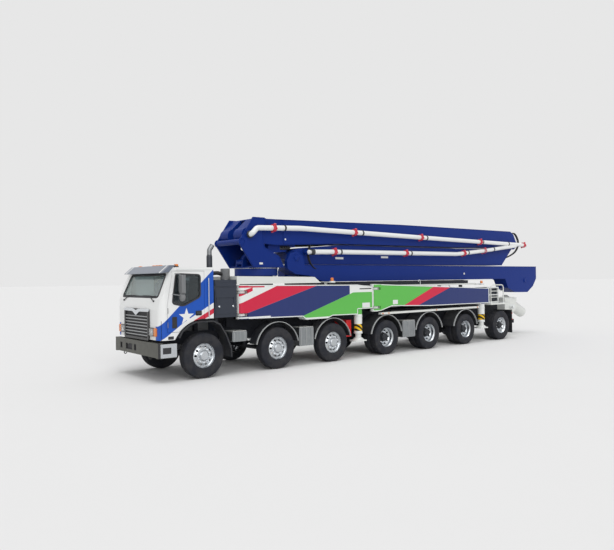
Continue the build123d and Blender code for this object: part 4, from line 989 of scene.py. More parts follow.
@dataclass
class Studio:
    """The camera at the photograph's place, a pale floor and soft light.

    Attributes:
        eye: The camera's place.
        yaw: Its turn from the truck's width towards its rear, in degrees.
        pitch: Its tilt upwards.
        roll: Its lean.
        lens: Its focal length in millimetres.
        pale: The background's colour.
        sky: The sky's light.
        suns: The name, strength, spread and turn of each sun, in degrees.
    """

    eye: Point = (13.363, -14.142, 2.269)
    yaw: float = 39.231
    pitch: float = 0.496
    roll: float = -0.752
    lens: float = 34.29
    pale: Tone = tone(231, 231, 231)
    sky: Tone = (0.44, 0.44, 0.44)
    suns: tuple = (("key", 1.2, 50, (62, 0, 62)), ("top", 1.2, 40, (6, 0, 62)), ("fill", 0.2, 60, (40, 0, -140)))

    def camera(self) -> None:
        """Sets the camera: its three axes follow from yaw, pitch and roll."""
        yaw, pitch, roll = (math.radians(angle) for angle in (self.yaw, self.pitch, self.roll))
        ahead = np.array([-math.cos(yaw) * math.cos(pitch), math.sin(yaw) * math.cos(pitch), math.sin(pitch)])
        right = np.cross(ahead, [0, 0, 1])
        right = right / np.linalg.norm(right)
        above = np.cross(right, ahead)
        across = right * math.cos(roll) + above * math.sin(roll)
        upward = above * math.cos(roll) - right * math.sin(roll)
        lens = bpy.data.cameras.new("camera")
        lens.lens, lens.sensor_width = self.lens, 36.0
        lens.clip_start, lens.clip_end = 0.1, 2000
        camera = bpy.data.objects.new("camera", lens)
        pose = Matrix(np.column_stack([across, upward, -ahead]).tolist()).to_4x4()
        pose.translation = self.eye
        camera.matrix_world = pose
        bpy.context.scene.collection.objects.link(camera)
        bpy.context.scene.camera = camera
        bpy.context.scene.view_settings.view_transform = "Standard"

    def world(self) -> None:
        """Fills the sky with even light; the camera, gloss and glass see the background's colour in it."""
        world = bpy.data.worlds.new("studio")
        bpy.context.scene.world = world
        shop = Shader(world)
        path = shop.node("ShaderNodeLightPath")
        seen, gloss, glass = (Value(shop, path.outputs[f"Is {ray} Ray"])
                              for ray in ("Camera", "Glossy", "Transmission"))
        colour = shop.mixed((seen + gloss + glass).held(), self.sky, self.pale)
        sky = shop.node("ShaderNodeBackground", None, {"Color": colour, "Strength": 1.0})
        shop.node("ShaderNodeOutputWorld", None, {"Surface": sky.outputs[0]})

    def floor(self) -> None:
        """Lays a wide pale disc that keeps the truck's shadow: rings that widen outwards as powers."""
        reach = 0.5 * 1.35 ** np.arange(24)
        disc = turned(np.column_stack([np.concatenate([[0], reach]), np.zeros(25)]), (0, 0, -0.001), "Z", 64)
        mesh = disc.mesh("floor", 30, False)
        if mesh.polygons[0].normal.z < 0:
            mesh.flip_normals()
        ground = bpy.data.objects.new("floor", mesh)
        bpy.context.scene.collection.objects.link(ground)
        matte = bpy.data.materials.new("floor_pale")
        shop = Shader(matte)
        colour = shop.mixed(shop.noise(0.5, detail=4), self.pale, scaled(self.pale, 0.985))
        shop.surface(Base_Color=colour, Roughness=0.95, Specular_IOR_Level=0.0)
        mesh.materials.append(matte)

    def lamps(self) -> None:
        """Hangs broad soft suns, the first over the camera's left shoulder."""
        for name, strength, spread, turn in self.suns:
            light = bpy.data.lights.new(name, "SUN")
            light.energy, light.angle = strength, math.radians(spread)
            lamp = bpy.data.objects.new(name, light)
            lamp.rotation_euler = tuple(math.radians(angle) for angle in turn)
            bpy.context.scene.collection.objects.link(lamp)

    def build(self) -> None:
        """Sets up everything that is not the truck."""
        for make in (self.camera, self.world, self.floor, self.lamps):
            make()


# Wheels


@dataclass
class Tyre:
    """A road tyre round the truck's width.

    Attributes:
        middle: The x of its middle.
        width: Its width.
        radius: Its outer radius.
        blocks: The number of cross grooves, or 0 for plain ribs.
        steps: The number of places round it without cross grooves.
        bead: The radius of its foot.
        groove: The depth of its grooves.
        slant: How far a cross groove turns round the axle over a metre of width, in radians.
    """

    middle: float
    width: float
    radius: float
    blocks: int = 0
    steps: int = 168
    bead: float = 0.288
    groove: float = 0.013
    slant: float = 0.25

    def section(self) -> tuple[np.ndarray, np.ndarray]:
        """The cross-section from the inner foot to the outer one.

        The wall is a smooth line through its foot, its widest place and the shoulder.
        The tread is nearly flat, drops by 8 mm to the shoulder, and is cut by four grooves.

        Returns:
            Rows of x from the middle and radius, and each row's share in the cross grooves.
        """
        half, foot, top = self.width / 2, self.bead, self.radius
        wall = eased([(half - 0.036, foot), (half - 0.012, foot + 0.035), (half - 0.001, foot + 0.10),
                      (half - 0.005, top - 0.085), (half - 0.017, top - 0.04), (half - 0.026, top - 0.018)], 13)
        wall[:, 0] = np.minimum(wall[:, 0], half)
        ridge = [(half - 0.0125, foot + 0.045), (half - 0.0065, foot + 0.048), (half - 0.0055, foot + 0.056)]
        wall = np.vstack([wall[:2], ridge, wall[4:]])
        edge = half - 0.036
        spans = np.concatenate([[-edge], np.repeat(np.array([-0.56, -0.19, 0.19, 0.56]) * edge, 2), [edge]])
        places, share, drops = [], [], []
        for run in range(5):
            first, last = int(run == 0), int(run == 4)
            low, high = spans[2 * run] + 0.006 * (1 - first), spans[2 * run + 1] - 0.006 * (1 - last)
            places += [low, low + 0.0005, (low + high) / 2, high - 0.0005, high]
            drops += [self.groove * (1 - first), 0, 0, 0, self.groove * (1 - last)]
            share += [first, 1, 1, 1, last]
        places = np.array(places)
        tread = np.column_stack([places, top - 0.008 * (places / edge) ** 2 - np.array(drops)])
        whole = np.vstack([wall * [-1, 1], tread, wall[::-1]])
        side = np.zeros(len(wall))
        side[-2:] = 0.7
        return whole, np.concatenate([side, share, side[::-1]])

    def shell(self) -> Shell:
        """The section turned round the axle, its tread cut by slanted cross grooves.

        The radius at angle a and place x is the section's less the groove's depth
        wherever the angle, shifted by x, falls into a groove.
        """
        rows, weight = self.section()
        angle, cut, slant = angles(self.steps), np.zeros(self.steps), 0.0
        if self.blocks:
            pitch, marks = 2 * np.pi / self.blocks, np.array([0.0, 0.02, 0.20, 0.22])
            angle = (np.arange(self.blocks)[:, None] + marks[None]).ravel() * pitch
            cut, slant = np.roll(np.tile([1.0, 1.0, 0.0, 0.0], self.blocks), 1), self.slant
        turn = angle[None, :] + (rows[:, 0] * slant)[:, None]
        radius = rows[:, 1][:, None] - 0.8 * self.groove * weight[:, None] * cut[None, :]
        x = np.broadcast_to(rows[:, 0][:, None] + self.middle, turn.shape)
        return Shell.grid(np.stack([x, radius * np.cos(turn), radius * np.sin(turn)], -1))


@dataclass
class Rim:
    """A wheel rim with ten hand holes, its nuts and its hub.

    Attributes:
        lip: The x of its outer lip.
        seat: The x of the disc at the rim.
        crown: How far the disc bulges outwards at the nuts; negative is dished.
        hub_reach: The x of the hub's cap.
        inner: The x of the rim's inner lip.
        holes: The number of hand holes.
        hole_pitch: The radius of the circle that they lie on.
        hole_radius: Their radius.
        nut_pitch: The radius of the nuts' circle.
    """

    lip: float
    seat: float
    crown: float
    hub_reach: float
    inner: float
    holes: int = 10
    hole_pitch: float = 0.205
    hole_radius: float = 0.027
    nut_pitch: float = 0.1675

    def height(self, radius: np.ndarray) -> np.ndarray:
        """The disc's x at a radius: a smooth step from the rim's seat to the crown."""
        share = np.clip((0.245 - radius) / (0.245 - 0.168), 0, 1)
        return self.seat + self.crown * share * share * (3 - 2 * share)

    def holed(self) -> list[Shell]:
        """The ring of the disc that holds the hand holes, a shell for each.

        In each of ten equal sectors a point runs from the hole's circle (s = 0) straight to
        the sector's edge (s = 1), and the disc's height is that of its radius.
        The first row goes inwards as the hole's wall.
        """
        pitch, half = self.hole_pitch, np.pi / self.holes
        wide, tall = half * pitch, 0.036
        top, left = (np.linspace(end, -end, 9)[:-1] for end in (wide, tall))
        edge = np.vstack([np.column_stack([top, np.full(8, tall)]), np.column_stack([np.full(8, -wide), left]),
                          np.column_stack([-top, np.full(8, -tall)]), np.column_stack([np.full(8, wide), -left])])
        around = np.arctan2(edge[:, 1], edge[:, 0])
        hole = self.hole_radius * np.stack([np.cos(around), np.sin(around)], -1)
        s = np.array([0, 0, 0.08, 0.3, 0.6, 1.0])[:, None, None]
        flat = hole * (1 - s) + edge * s
        radius = pitch + flat[..., 1]
        x = self.height(radius)
        x[0] -= 0.012
        x[1] -= 0.0015
        turn = (flat[..., 0] / pitch)[None] + (np.arange(self.holes) * 2 * half)[:, None, None]
        points = np.stack([np.broadcast_to(x, turn.shape), radius * np.cos(turn), radius * np.sin(turn)], -1)
        return [Shell.grid(sector) for sector in points]

    def shell(self) -> Shell:
        """The whole rim: lip and barrel, disc, hub and nuts.

        Returns:
            The rim, its finishes numbered rim, hub, nuts.
        """
        lip, seat, back, reach = self.lip, self.seat, self.inner, self.hub_reach
        steps, start = self.holes * 8, np.pi / self.holes
        barrel = [(0.262, back + 0.03), (0.286, back), (0.303, back), (0.303, back + 0.004), (0.288, back + 0.006),
                  (0.266, back + 0.04), (0.266, lip - 0.045), (0.289, lip - 0.012), (0.303, lip - 0.006),
                  (0.3035, lip), (0.300, lip + 0.003), (0.292, lip + 0.001), (0.284, lip - 0.014),
                  (0.276, lip - 0.030), (0.263, lip - 0.043), (0.2605, max(seat + 0.012, lip - 0.06)),
                  (0.257, seat + 0.004), (0.249, seat)]
        outer, inner = (np.column_stack([radii, self.height(radii)])
                        for radii in (np.array([0.249, 0.245, 0.241]), np.array([0.169, 0.16, 0.15, 0.143])))
        crown = float(self.height(np.array(0.15)))
        hub = [(0.143, crown), (0.1425, crown + 0.006), (0.125, crown + 0.010), (0.121, reach - 0.05),
               (0.112, reach - 0.030), (0.104, reach - 0.026), (0.100, reach - 0.006), (0.092, reach),
               (0.04, reach + 0.002), (0, reach + 0.002)]
        around = ring_places((crown + 0.001, 0, 0), self.nut_pitch - 0.003, self.holes, "X", start)
        nut = turned([(0.023, 0), (0.023, 0.006), (0.0175, 0.008), (0.0175, 0.030), (0.013, 0.034), (0, 0.034)],
                     steps=6)
        fixings = [nut.moved(*place) for place in around] + [bolt_ring((reach - 0.026, 0, 0), 0.1085, 8, 0.006, 0.006)]
        return joined([turned(barrel, steps=steps, start=start), turned(outer, steps=steps, start=start), *self.holed(),
                       turned(inner, steps=steps, start=start), turned(hub, steps=steps // 2, start=start).shaded(1),
                       joined(fixings).shaded(2)])


@dataclass
class Wheels:
    """The wheels of one kind, each a tyre and a rim that stand for its CAD node.

    Attributes:
        axles: The numbers of their axles from the front.
        tyres: A wheel's tyres; twins have two.
        rim: Its rim.
        hub: The hub's finish.
    """

    axles: tuple[int, ...]
    tyres: tuple[Tyre, ...]
    rim: Rim
    hub: Finish = Finish.DARK_HUB

    def inner_barrel(self) -> Shell:
        """The inner twin's rim: its barrel turned round the axle, with a plate to the disc."""
        low, high = 0.74, 0.93
        rows = [(0.19, high + 0.02), (0.25, high - 0.02), (0.262, high - 0.05), (0.262, low + 0.05),
                (0.286, low + 0.01), (0.303, low), (0.3, low - 0.003), (0.284, low + 0.004), (0.256, low + 0.05),
                (0.256, high - 0.05), (0.244, high - 0.03), (0.18, high + 0.01)]
        return turned(rows, steps=64)

    def build(self) -> None:
        """Makes every wheel round its own CAD node's centre."""
        rubber, metal = joined([tyre.shell() for tyre in self.tyres]), self.rim.shell()
        if len(self.tyres) > 1:
            metal = metal + self.inner_barrel()
        for name, axle, side in ((f"wheel_{axle}_{side}", axle, side) for axle in self.axles for side in SIDES):
            low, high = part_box(name)
            tyre, rim = (shell.moved(0, (low.y + high.y) / 2, (low.z + high.z) / 2) for shell in (rubber, metal))
            if side == "right":
                tyre, rim = tyre.mirrored(), rim.mirrored()
            put(tyre, f"tyre_{axle}_{side}", name, Finish.TYRE, "", 40, outward=False, replaces=(name,))
            put(rim, f"rim_{axle}_{side}", name, [Finish.POLISHED, self.hub, Finish.BRIGHT], "", 30, outward=False)


WHEELS = (Wheels((1, 2, 3), (Tyre(1.101, 0.298, 0.532),), Rim(1.214, 1.158, 0.042, 1.247, 0.99), Finish.POLISHED),
          Wheels((4, 5, 6), (Tyre(1.119, 0.262, 0.518, 46), Tyre(0.835, 0.262, 0.518, 46)),
                 Rim(1.214, 1.090, -0.055, 1.17, 1.025)),
          Wheels((7,), (Tyre(1.03, 0.44, 0.526),), Rim(1.214, 1.150, -0.045, 1.19, 0.85)))


# The cab


@dataclass
class Cab:
    """The cab's grille, lamps, seals, wipers, mirrors and rails.

    Attributes:
        front: The front's side view as heights and the y of each.
        half: Half the cab's width.
        screen: The windscreen's corners, x and z.
        side_window: The door window's corners, y and z.
        bar_heights: The heights of the grille's bars.
        markers: The x of each roof marker.
        beacons: The place of each left-hand deck beacon's seat.
    """

    front: tuple = ((0.955, 1.64, 1.88, 2.488, 2.60), (-1.105, -1.105, -1.065, -0.80, -0.70))
    half: float = 1.235
    screen: tuple = ((-1.010, 1.925), (1.010, 1.925), (0.965, 2.440), (-0.965, 2.440))
    side_window: tuple = ((-0.715, 2.450), (-0.805, 1.775), (-0.530, 1.715), (-0.095, 1.915), (-0.095, 2.425))
    bar_heights: tuple = tuple(1.035 + 0.073 * step for step in range(7))
    markers: tuple = (-1.0, -0.18, 0.0, 0.18, 1.0)
    beacons: tuple = ((1.15, 4.09, 2.2203), (1.15, 11.205, 2.0603))

    def face(self, z: float) -> float:
        """The y of the cab's front at a height."""
        return float(np.interp(z, *self.front))

    def grille(self) -> None:
        """A dark surround, a chrome brow that dips to a notch, satin bars and black mesh behind them."""
        surround = ring(((-0.700, 0.930), (0.700, 1.652), 0.05), ((-0.630, 0.985), (0.630, 1.585), 0.03),
                        -1.145, -1.106, "Y")
        above = eased([(-0.700, 1.625), (-0.690, 1.652), (-0.42, 1.655), (-0.16, 1.648), (0, 1.612), (0.16, 1.648),
                       (0.42, 1.655), (0.690, 1.652), (0.700, 1.625)], 49)
        below = eased([(0.700, 1.588), (0.42, 1.583), (0.21, 1.578), (0.07, 1.520), (0, 1.492), (-0.07, 1.520),
                       (-0.21, 1.578), (-0.42, 1.583), (-0.700, 1.588)], 49)
        brow = prism(np.vstack([above, below]), -1.1495, -1.120, "Y").shaded(1)
        rods = [carried([(-0.632, -1.131, z), (0.632, -1.131, z)], circle(0.009, 12, 1.45)).shaded(2)
                for z in self.bar_heights]
        fit([surround, brow, *rods], "grille_dressed", [Finish.BLACK_METAL, Finish.BRIGHT, Finish.SATIN], 30, 0.004,
            slot="bright", replaces=("grille",))
        fit(plate((-0.66, 0.96), (0.66, 1.62), -1.118, -1.107, "Y"), "grille_mesh", Finish.MESH)

    def lamps(self) -> None:
        """Amber markers, corner lamps and beacons, and headlamps with a bowl behind clear glass."""
        bulb = [(0.044, 0.012), (0.046, 0.03), (0.046, 0.075), (0.040, 0.098), (0.022, 0.108), (0, 0.109)]
        foot = [(0.050, 0), (0.050, 0.012), (0.044, 0.016), (0, 0.016)]
        amber = [pebble((x, -0.585, 2.650), (0.060, 0.042, 0.032), 3.2) for x in self.markers]
        amber.append(pebble((1.009, -1.108, 1.136), (0.062, 0.034, 0.096), 6, 28).both())
        amber += [turned(bulb, seat, "Z", 32).both() for seat in self.beacons]
        fit(amber, "amber_lamps", Finish.AMBER, 50, replaces=("cab_lamps",))
        feet = [turned(foot, seat, "Z", 32).both() for seat in self.beacons]
        beds = [plate((x - 0.062, -0.632), (x + 0.062, -0.538), 2.5995, 2.628, "Z", 0.03) for x in self.markers]
        stands = [pebble((x, y, z - 0.012), (0.075, 0.082, 0.026), 5, 28).both() for x, y, z in self.beacons]
        fit(feet + beds, "lamp_feet", Finish.PLASTIC, 40, 0.002)
        fit(stands, "beacon_stands", Finish.WHITE, 40)
        bezel = ring(((0.704, 1.040), (0.942, 1.232), 0.02), ((0.722, 1.058), (0.924, 1.214), 0.014),
                     -1.136, -1.106, "Y")
        bowl = turned([(0.068, 0), (0.062, 0.010), (0.040, 0.017), (0.012, 0.020), (0.010, 0.006), (0, 0.004)],
                      (0.850, -1.1335, 1.136), "Y", 40).shaded(1)
        rim = turned([(0.067, 0.018), (0.067, -0.002), (0.071, -0.003), (0.075, 0), (0.075, 0.018)],
                     (0.850, -1.1325, 1.136), "Y", 40)
        back = plate((0.715, 1.05), (0.93, 1.222), -1.114, -1.107, "Y").shaded(2)
        fit((bezel + bowl + rim + back).both(), "headlamps",
            [Finish.SHADOW_CHROME, Finish.SILVER, Finish.BLACK_METAL], 35, 0.001)
        fit(plate((0.720, 1.056), (0.926, 1.216), -1.1385, -1.1355, "Y", 0.014).both(), "headlamp_glass", Finish.CLEAR)

    def seals(self) -> None:
        """Rubber round the windows: a flat profile carried round each outline."""
        lip = np.array([(-0.026, -0.004), (0.026, -0.004), (0.028, 0.004), (0.018, 0.010), (-0.018, 0.010),
                        (-0.028, 0.004)])
        screen = [(x, self.face(z), z) for x, z in self.screen]
        rear = [(x, 0.2575, z) for x, z in oblong((-0.70, 1.95), (0.70, 2.40))]
        window = [(self.half + 0.001, y, z) for y, z in self.side_window]
        fit([edging(screen, 0.08, lip, (0, -0.9167, 0.3996)), edging(rear, 0.06, lip * 0.7, (0, 1, 0))], "screen_seals",
            Finish.PLASTIC, 40)
        fit_pair(edging(window, 0.07, lip * 0.62, (1, 0, 0)), "door_seal", "door", Finish.PLASTIC, 40)

    def wipers(self) -> None:
        """Two wipers at the foot of the windscreen, each an arm, a blade and a pivot."""
        shells = []
        across, up = np.linspace(0.22, 0.90, 12), (0, -1, 0.4)
        for side in (-1, 1):
            foot, elbow = (side * 0.856, 1.834), (side * 0.595, 1.945)
            arm = [(x, self.face(z) - 0.020, z) for x, z in (foot, elbow)]
            blade = [side * across, np.full(12, self.face(1.952) - 0.014), 1.952 + 0.006 * np.cos(3 * across)]
            shells += [pipe(arm, 0.009, 0, 8, up), pipe(np.column_stack(blade), 0.008, 0, 6, up),
                       turned([(0.020, 0), (0.020, -0.022), (0.012, -0.030), (0, -0.030)],
                              (foot[0], self.face(foot[1]) + 0.002, foot[1]), "Y", 16)]
        fit(shells, "wipers", Finish.PLASTIC, 40)

    def doors(self) -> None:
        """What the doors carry: vent, handle, mirror housings and mirror glass."""
        x = self.half
        vent = ring(((-0.815, 1.218), (-0.698, 1.476), 0.014), ((-0.803, 1.230), (-0.710, 1.464), 0.010),
                    x - 0.002, x + 0.010)
        bed = plate((-0.81, 1.223), (-0.703, 1.471), x - 0.001, x + 0.002)
        handle = plate((-0.222, 1.478), (-0.060, 1.592), x - 0.002, x + 0.006, cut=0.03)
        grip = pebble((x + 0.024, -0.141, 1.540), (0.012, 0.066, 0.030), 5, 24)
        bars = slats((-0.806, 1.236), (-0.707, 1.455), 0.021, 0.010, x, x + 0.007)
        fit_pair([vent, bed, handle, grip, *bars], "door_fittings", "door", Finish.PLASTIC, 35, 0.0015)
        case = pebble((1.385, -0.650, 2.215), (0.088, 0.030, 0.212), 7, 36)
        dome = turned([(0.093, 0.048), (0.094, 0.004), (0.088, -0.012), (0.062, -0.027), (0.03, -0.034), (0, -0.036)],
                      (1.382, -0.648, 1.920), "Y", 40)
        ribs = [pipe([(1.305, -0.683, z), (1.465, -0.683, z)], 0.0035, 0, 8) for z in np.arange(2.06, 2.39, 0.03)]
        fit_pair([case, dome, *ribs], "mirror_housings", "door", Finish.MIRROR_GREY, 35)
        tall = plate((1.309, 2.018), (1.461, 2.412), -0.5905, -0.5875, "Y", 0.02)
        low = turned([(0.082, 0), (0.078, 0.006), (0.05, 0.011), (0, 0.013)], (1.384, -0.6005, 1.920), "Y", 32)
        fit_pair([tall, low], "mirror_glass", "door", Finish.BRIGHT, 35, 0.001)

    def trim(self) -> None:
        """Grab rails, roof gutter, visor bands and cheeks, the step slots."""
        x = self.half
        rail = pipe([(x - 0.004, 0.111, 2.334), (x + 0.028, 0.111, 2.330), (x + 0.036, 0.111, 2.30),
                     (x + 0.037, 0.111, 1.90), (x + 0.036, 0.111, 1.475), (x + 0.028, 0.111, 1.445),
                     (x - 0.004, 0.111, 1.441)], 0.013, 72, 12, (0, 1, 0))
        fit(rail.both(), "grab_rails", Finish.BRIGHT, 40)
        gutter = pipe([(x + 0.001, -0.695, 2.545), (x + 0.003, -0.2, 2.549), (x + 0.001, 0.248, 2.545)], 0.010, 12, 10)
        strip = [(-0.9905, 2.4765), (-0.782, 2.6535), (-0.640, 2.6535), (-0.640, 2.6485), (-0.781, 2.6485),
                 (-0.9865, 2.4715)]
        fit([gutter.both(), prism(strip, 0.935, 0.985), prism(strip, -0.985, -0.935)], "white_trim", Finish.WHITE, 40)
        cheek = prism([(-0.972, 2.474), (-0.786, 2.640), (-0.645, 2.640), (-0.700, 2.603), (-0.806, 2.490)],
                      1.064, 1.079)
        slot = plate((-0.915, 0.970), (-0.778, 1.040), x - 0.001, x + 0.006, cut=0.014)
        fit(cheek.both(), "visor_cheeks", Finish.VISOR, 30, 0.002)
        fit(slot.both(), "step_slots", Finish.PLASTIC, 30, 0.002)

    def intake(self) -> None:
        """The air intake's hose: a round bar whose radius swells by a sine along it."""
        places, sides = 90, 20
        hose = eased([(0.925, 0.672, 2.44), (0.92, 0.55, 2.47), (0.90, 0.42, 2.45), (0.86, 0.34, 2.36),
                      (0.82, 0.30, 2.22)], places)
        ribbed = carried(hose, circle(0.048, sides), (1, 0, 0))
        swell = 1 + 0.06 * np.sin(np.arange(places) * 1.4)
        spread = ribbed.points.reshape(places, sides, 3)
        ribbed.points = (hose[:, None] + (spread - hose[:, None]) * swell[:, None, None]).reshape(-1, 3)
        fit(ribbed, "intake_hose", Finish.HOSE, 60)

    def build(self) -> None:
        """Makes everything on the cab."""
        for make in (self.grille, self.lamps, self.seals, self.wipers, self.doors, self.trim, self.intake):
            make()


@dataclass
class Bumper:
    """The front bumper's bright corner frames, black slots, black strips as painted shade in its gaps, and tow eyes.

    Attributes:
        slots: The low and high x of each opening.
        front: The y of its front.
        side: Half its width.
    """

    slots: tuple = ((-0.925, -0.800), (-0.590, -0.200), (-0.090, 0.040))
    front: float = -1.16
    side: float = 1.230

    def build(self) -> None:
        """Makes the bumper's pieces."""
        x, y = self.side, self.front
        corner = ring(((-1.100, 0.566), (-0.704, 0.876), 0.02), ((-1.046, 0.654), (-0.842, 0.792), 0.012),
                      x - 0.002, x + 0.010)
        fit(corner.both(), "bumper_corners", Finish.POLISHED, 30, 0.004, slot="bright")
        dark = [plate((low - 0.03, 0.625), (high + 0.03, 0.825), -1.1275, -1.1235, "Y") for low, high in self.slots]
        dark += [ring(((low - 0.001, 0.649), (high + 0.001, 0.801), 0.004),
                      ((low + 0.011, 0.661), (high - 0.011, 0.789), 0.008), y + 0.001, y + 0.014, "Y")
                 for low, high in self.slots]
        # A black strip in the gap between the bumper's front and its corner piece: painted shade in the gap.
        dark.append(plate((-1.156, 0.562), (-1.112, 0.898), x - 0.001, x + 0.003).both())
        dark.append(plate((-1.06, 0.64), (-0.83, 0.81), x - 0.001, x + 0.002).both())
        fit(dark, "bumper_black", Finish.PLASTIC, 30)
        round_eye = circle(0.032, 28) + [-1.111, 0.545]
        eye = carried(np.insert(round_eye, 0, 0.73, axis=1), circle(0.011, 10), (1, 0, 0), loop=True)
        fit(eye.both(), "tow_eyes", Finish.BLACK_METAL, 60)


@dataclass
class Cabinets:
    """The boxes behind the cab and along the chassis: pressed panels, latches, air cleaner, straps.

    Attributes:
        face: The x of the cabinet doors' outer face.
        panels: The low and high z of each pressed panel.
        tanks: The front, rear, low and high of each box along the chassis.
        stack: The exhaust stack's axis.
    """

    face: float = 1.244
    panels: tuple = ((2.145, 2.225), (1.875, 2.110), (1.485, 1.835))
    tanks: tuple = ((2.838, 3.335, 0.52, 1.01), (6.905, 7.495, 0.46, 0.965), (0.77, 1.19, 0.79, 1.04))
    stack: Point = (0.3, 0.69, 0)

    def build(self) -> None:
        """Makes the boxes' pieces."""
        x = self.face
        pressed = [plate((0.312, low), (0.863, high), x - 0.001, x + 0.010, cut=0.02) for low, high in self.panels]
        fit_pair(pressed, "cabinet_panels", "cabinet_door", Finish.CABINET, 30, 0.003)
        latch = [(0.024, 0), (0.024, 0.006), (0.019, 0.009), (0.017, 0.005), (0.006, 0.005), (0.006, 0.014), (0, 0.014)]
        latches = [turned(latch, (x + 0.009, y, 1.665), "X", 28) for y in (0.400, 0.785)]
        fit_pair(latches, "cabinet_latches", "cabinet_door", Finish.BRIGHT, 30)
        ribs = [(0, 0.001)]
        for low in np.arange(9) * 0.028 + 0.012:
            ribs += [(0.1115, low), (0.1175, low + 0.003), (0.1175, low + 0.013), (0.1115, low + 0.016)]
        ribs += [(0.112, 0.268), (0.106, 0.278), (0.02, 0.282), (0, 0.282)]
        fit(turned(ribs, (0.925, 0.77, 2.2995), "Z"), "air_cleaner_jacket", Finish.MIRROR_GREY, 25,
            slot="chassis_black")
        collars = [hoop(0.0590, 0.067, z - 0.012, z + 0.012, self.stack, "Z", 32) for z in (1.45, 2.33, 2.93)]
        guard = hoop(0.0705, 0.0735, 2.36, 2.91, self.stack, "Z", 48)
        fit([*collars, guard], "stack_guard", Finish.STACK, 30)
        treads, straps, flat = [], [], oblong((-0.004, -0.014), (0.006, 0.014))
        for front, rear, low, high in self.tanks:
            treads.append(plate((0.90, front + 0.012), (1.232, rear - 0.012), high - 0.001, high + 0.012, "Z", 0.02))
            for y in np.linspace(front + 0.06, rear - 0.06, 3 if rear - front > 0.45 else 2):
                loop = [(0.604, y, low), (1.225, y, low), (1.225, y, high), (0.604, y, high)]
                straps.append(edging(loop, 0.055, flat, (0, 1, 0)))
        fit(joined(treads).both(), "step_treads", Finish.TREAD, 30, 0.003)
        fit(joined(straps).both(), "tank_straps", Finish.SATIN, 30)


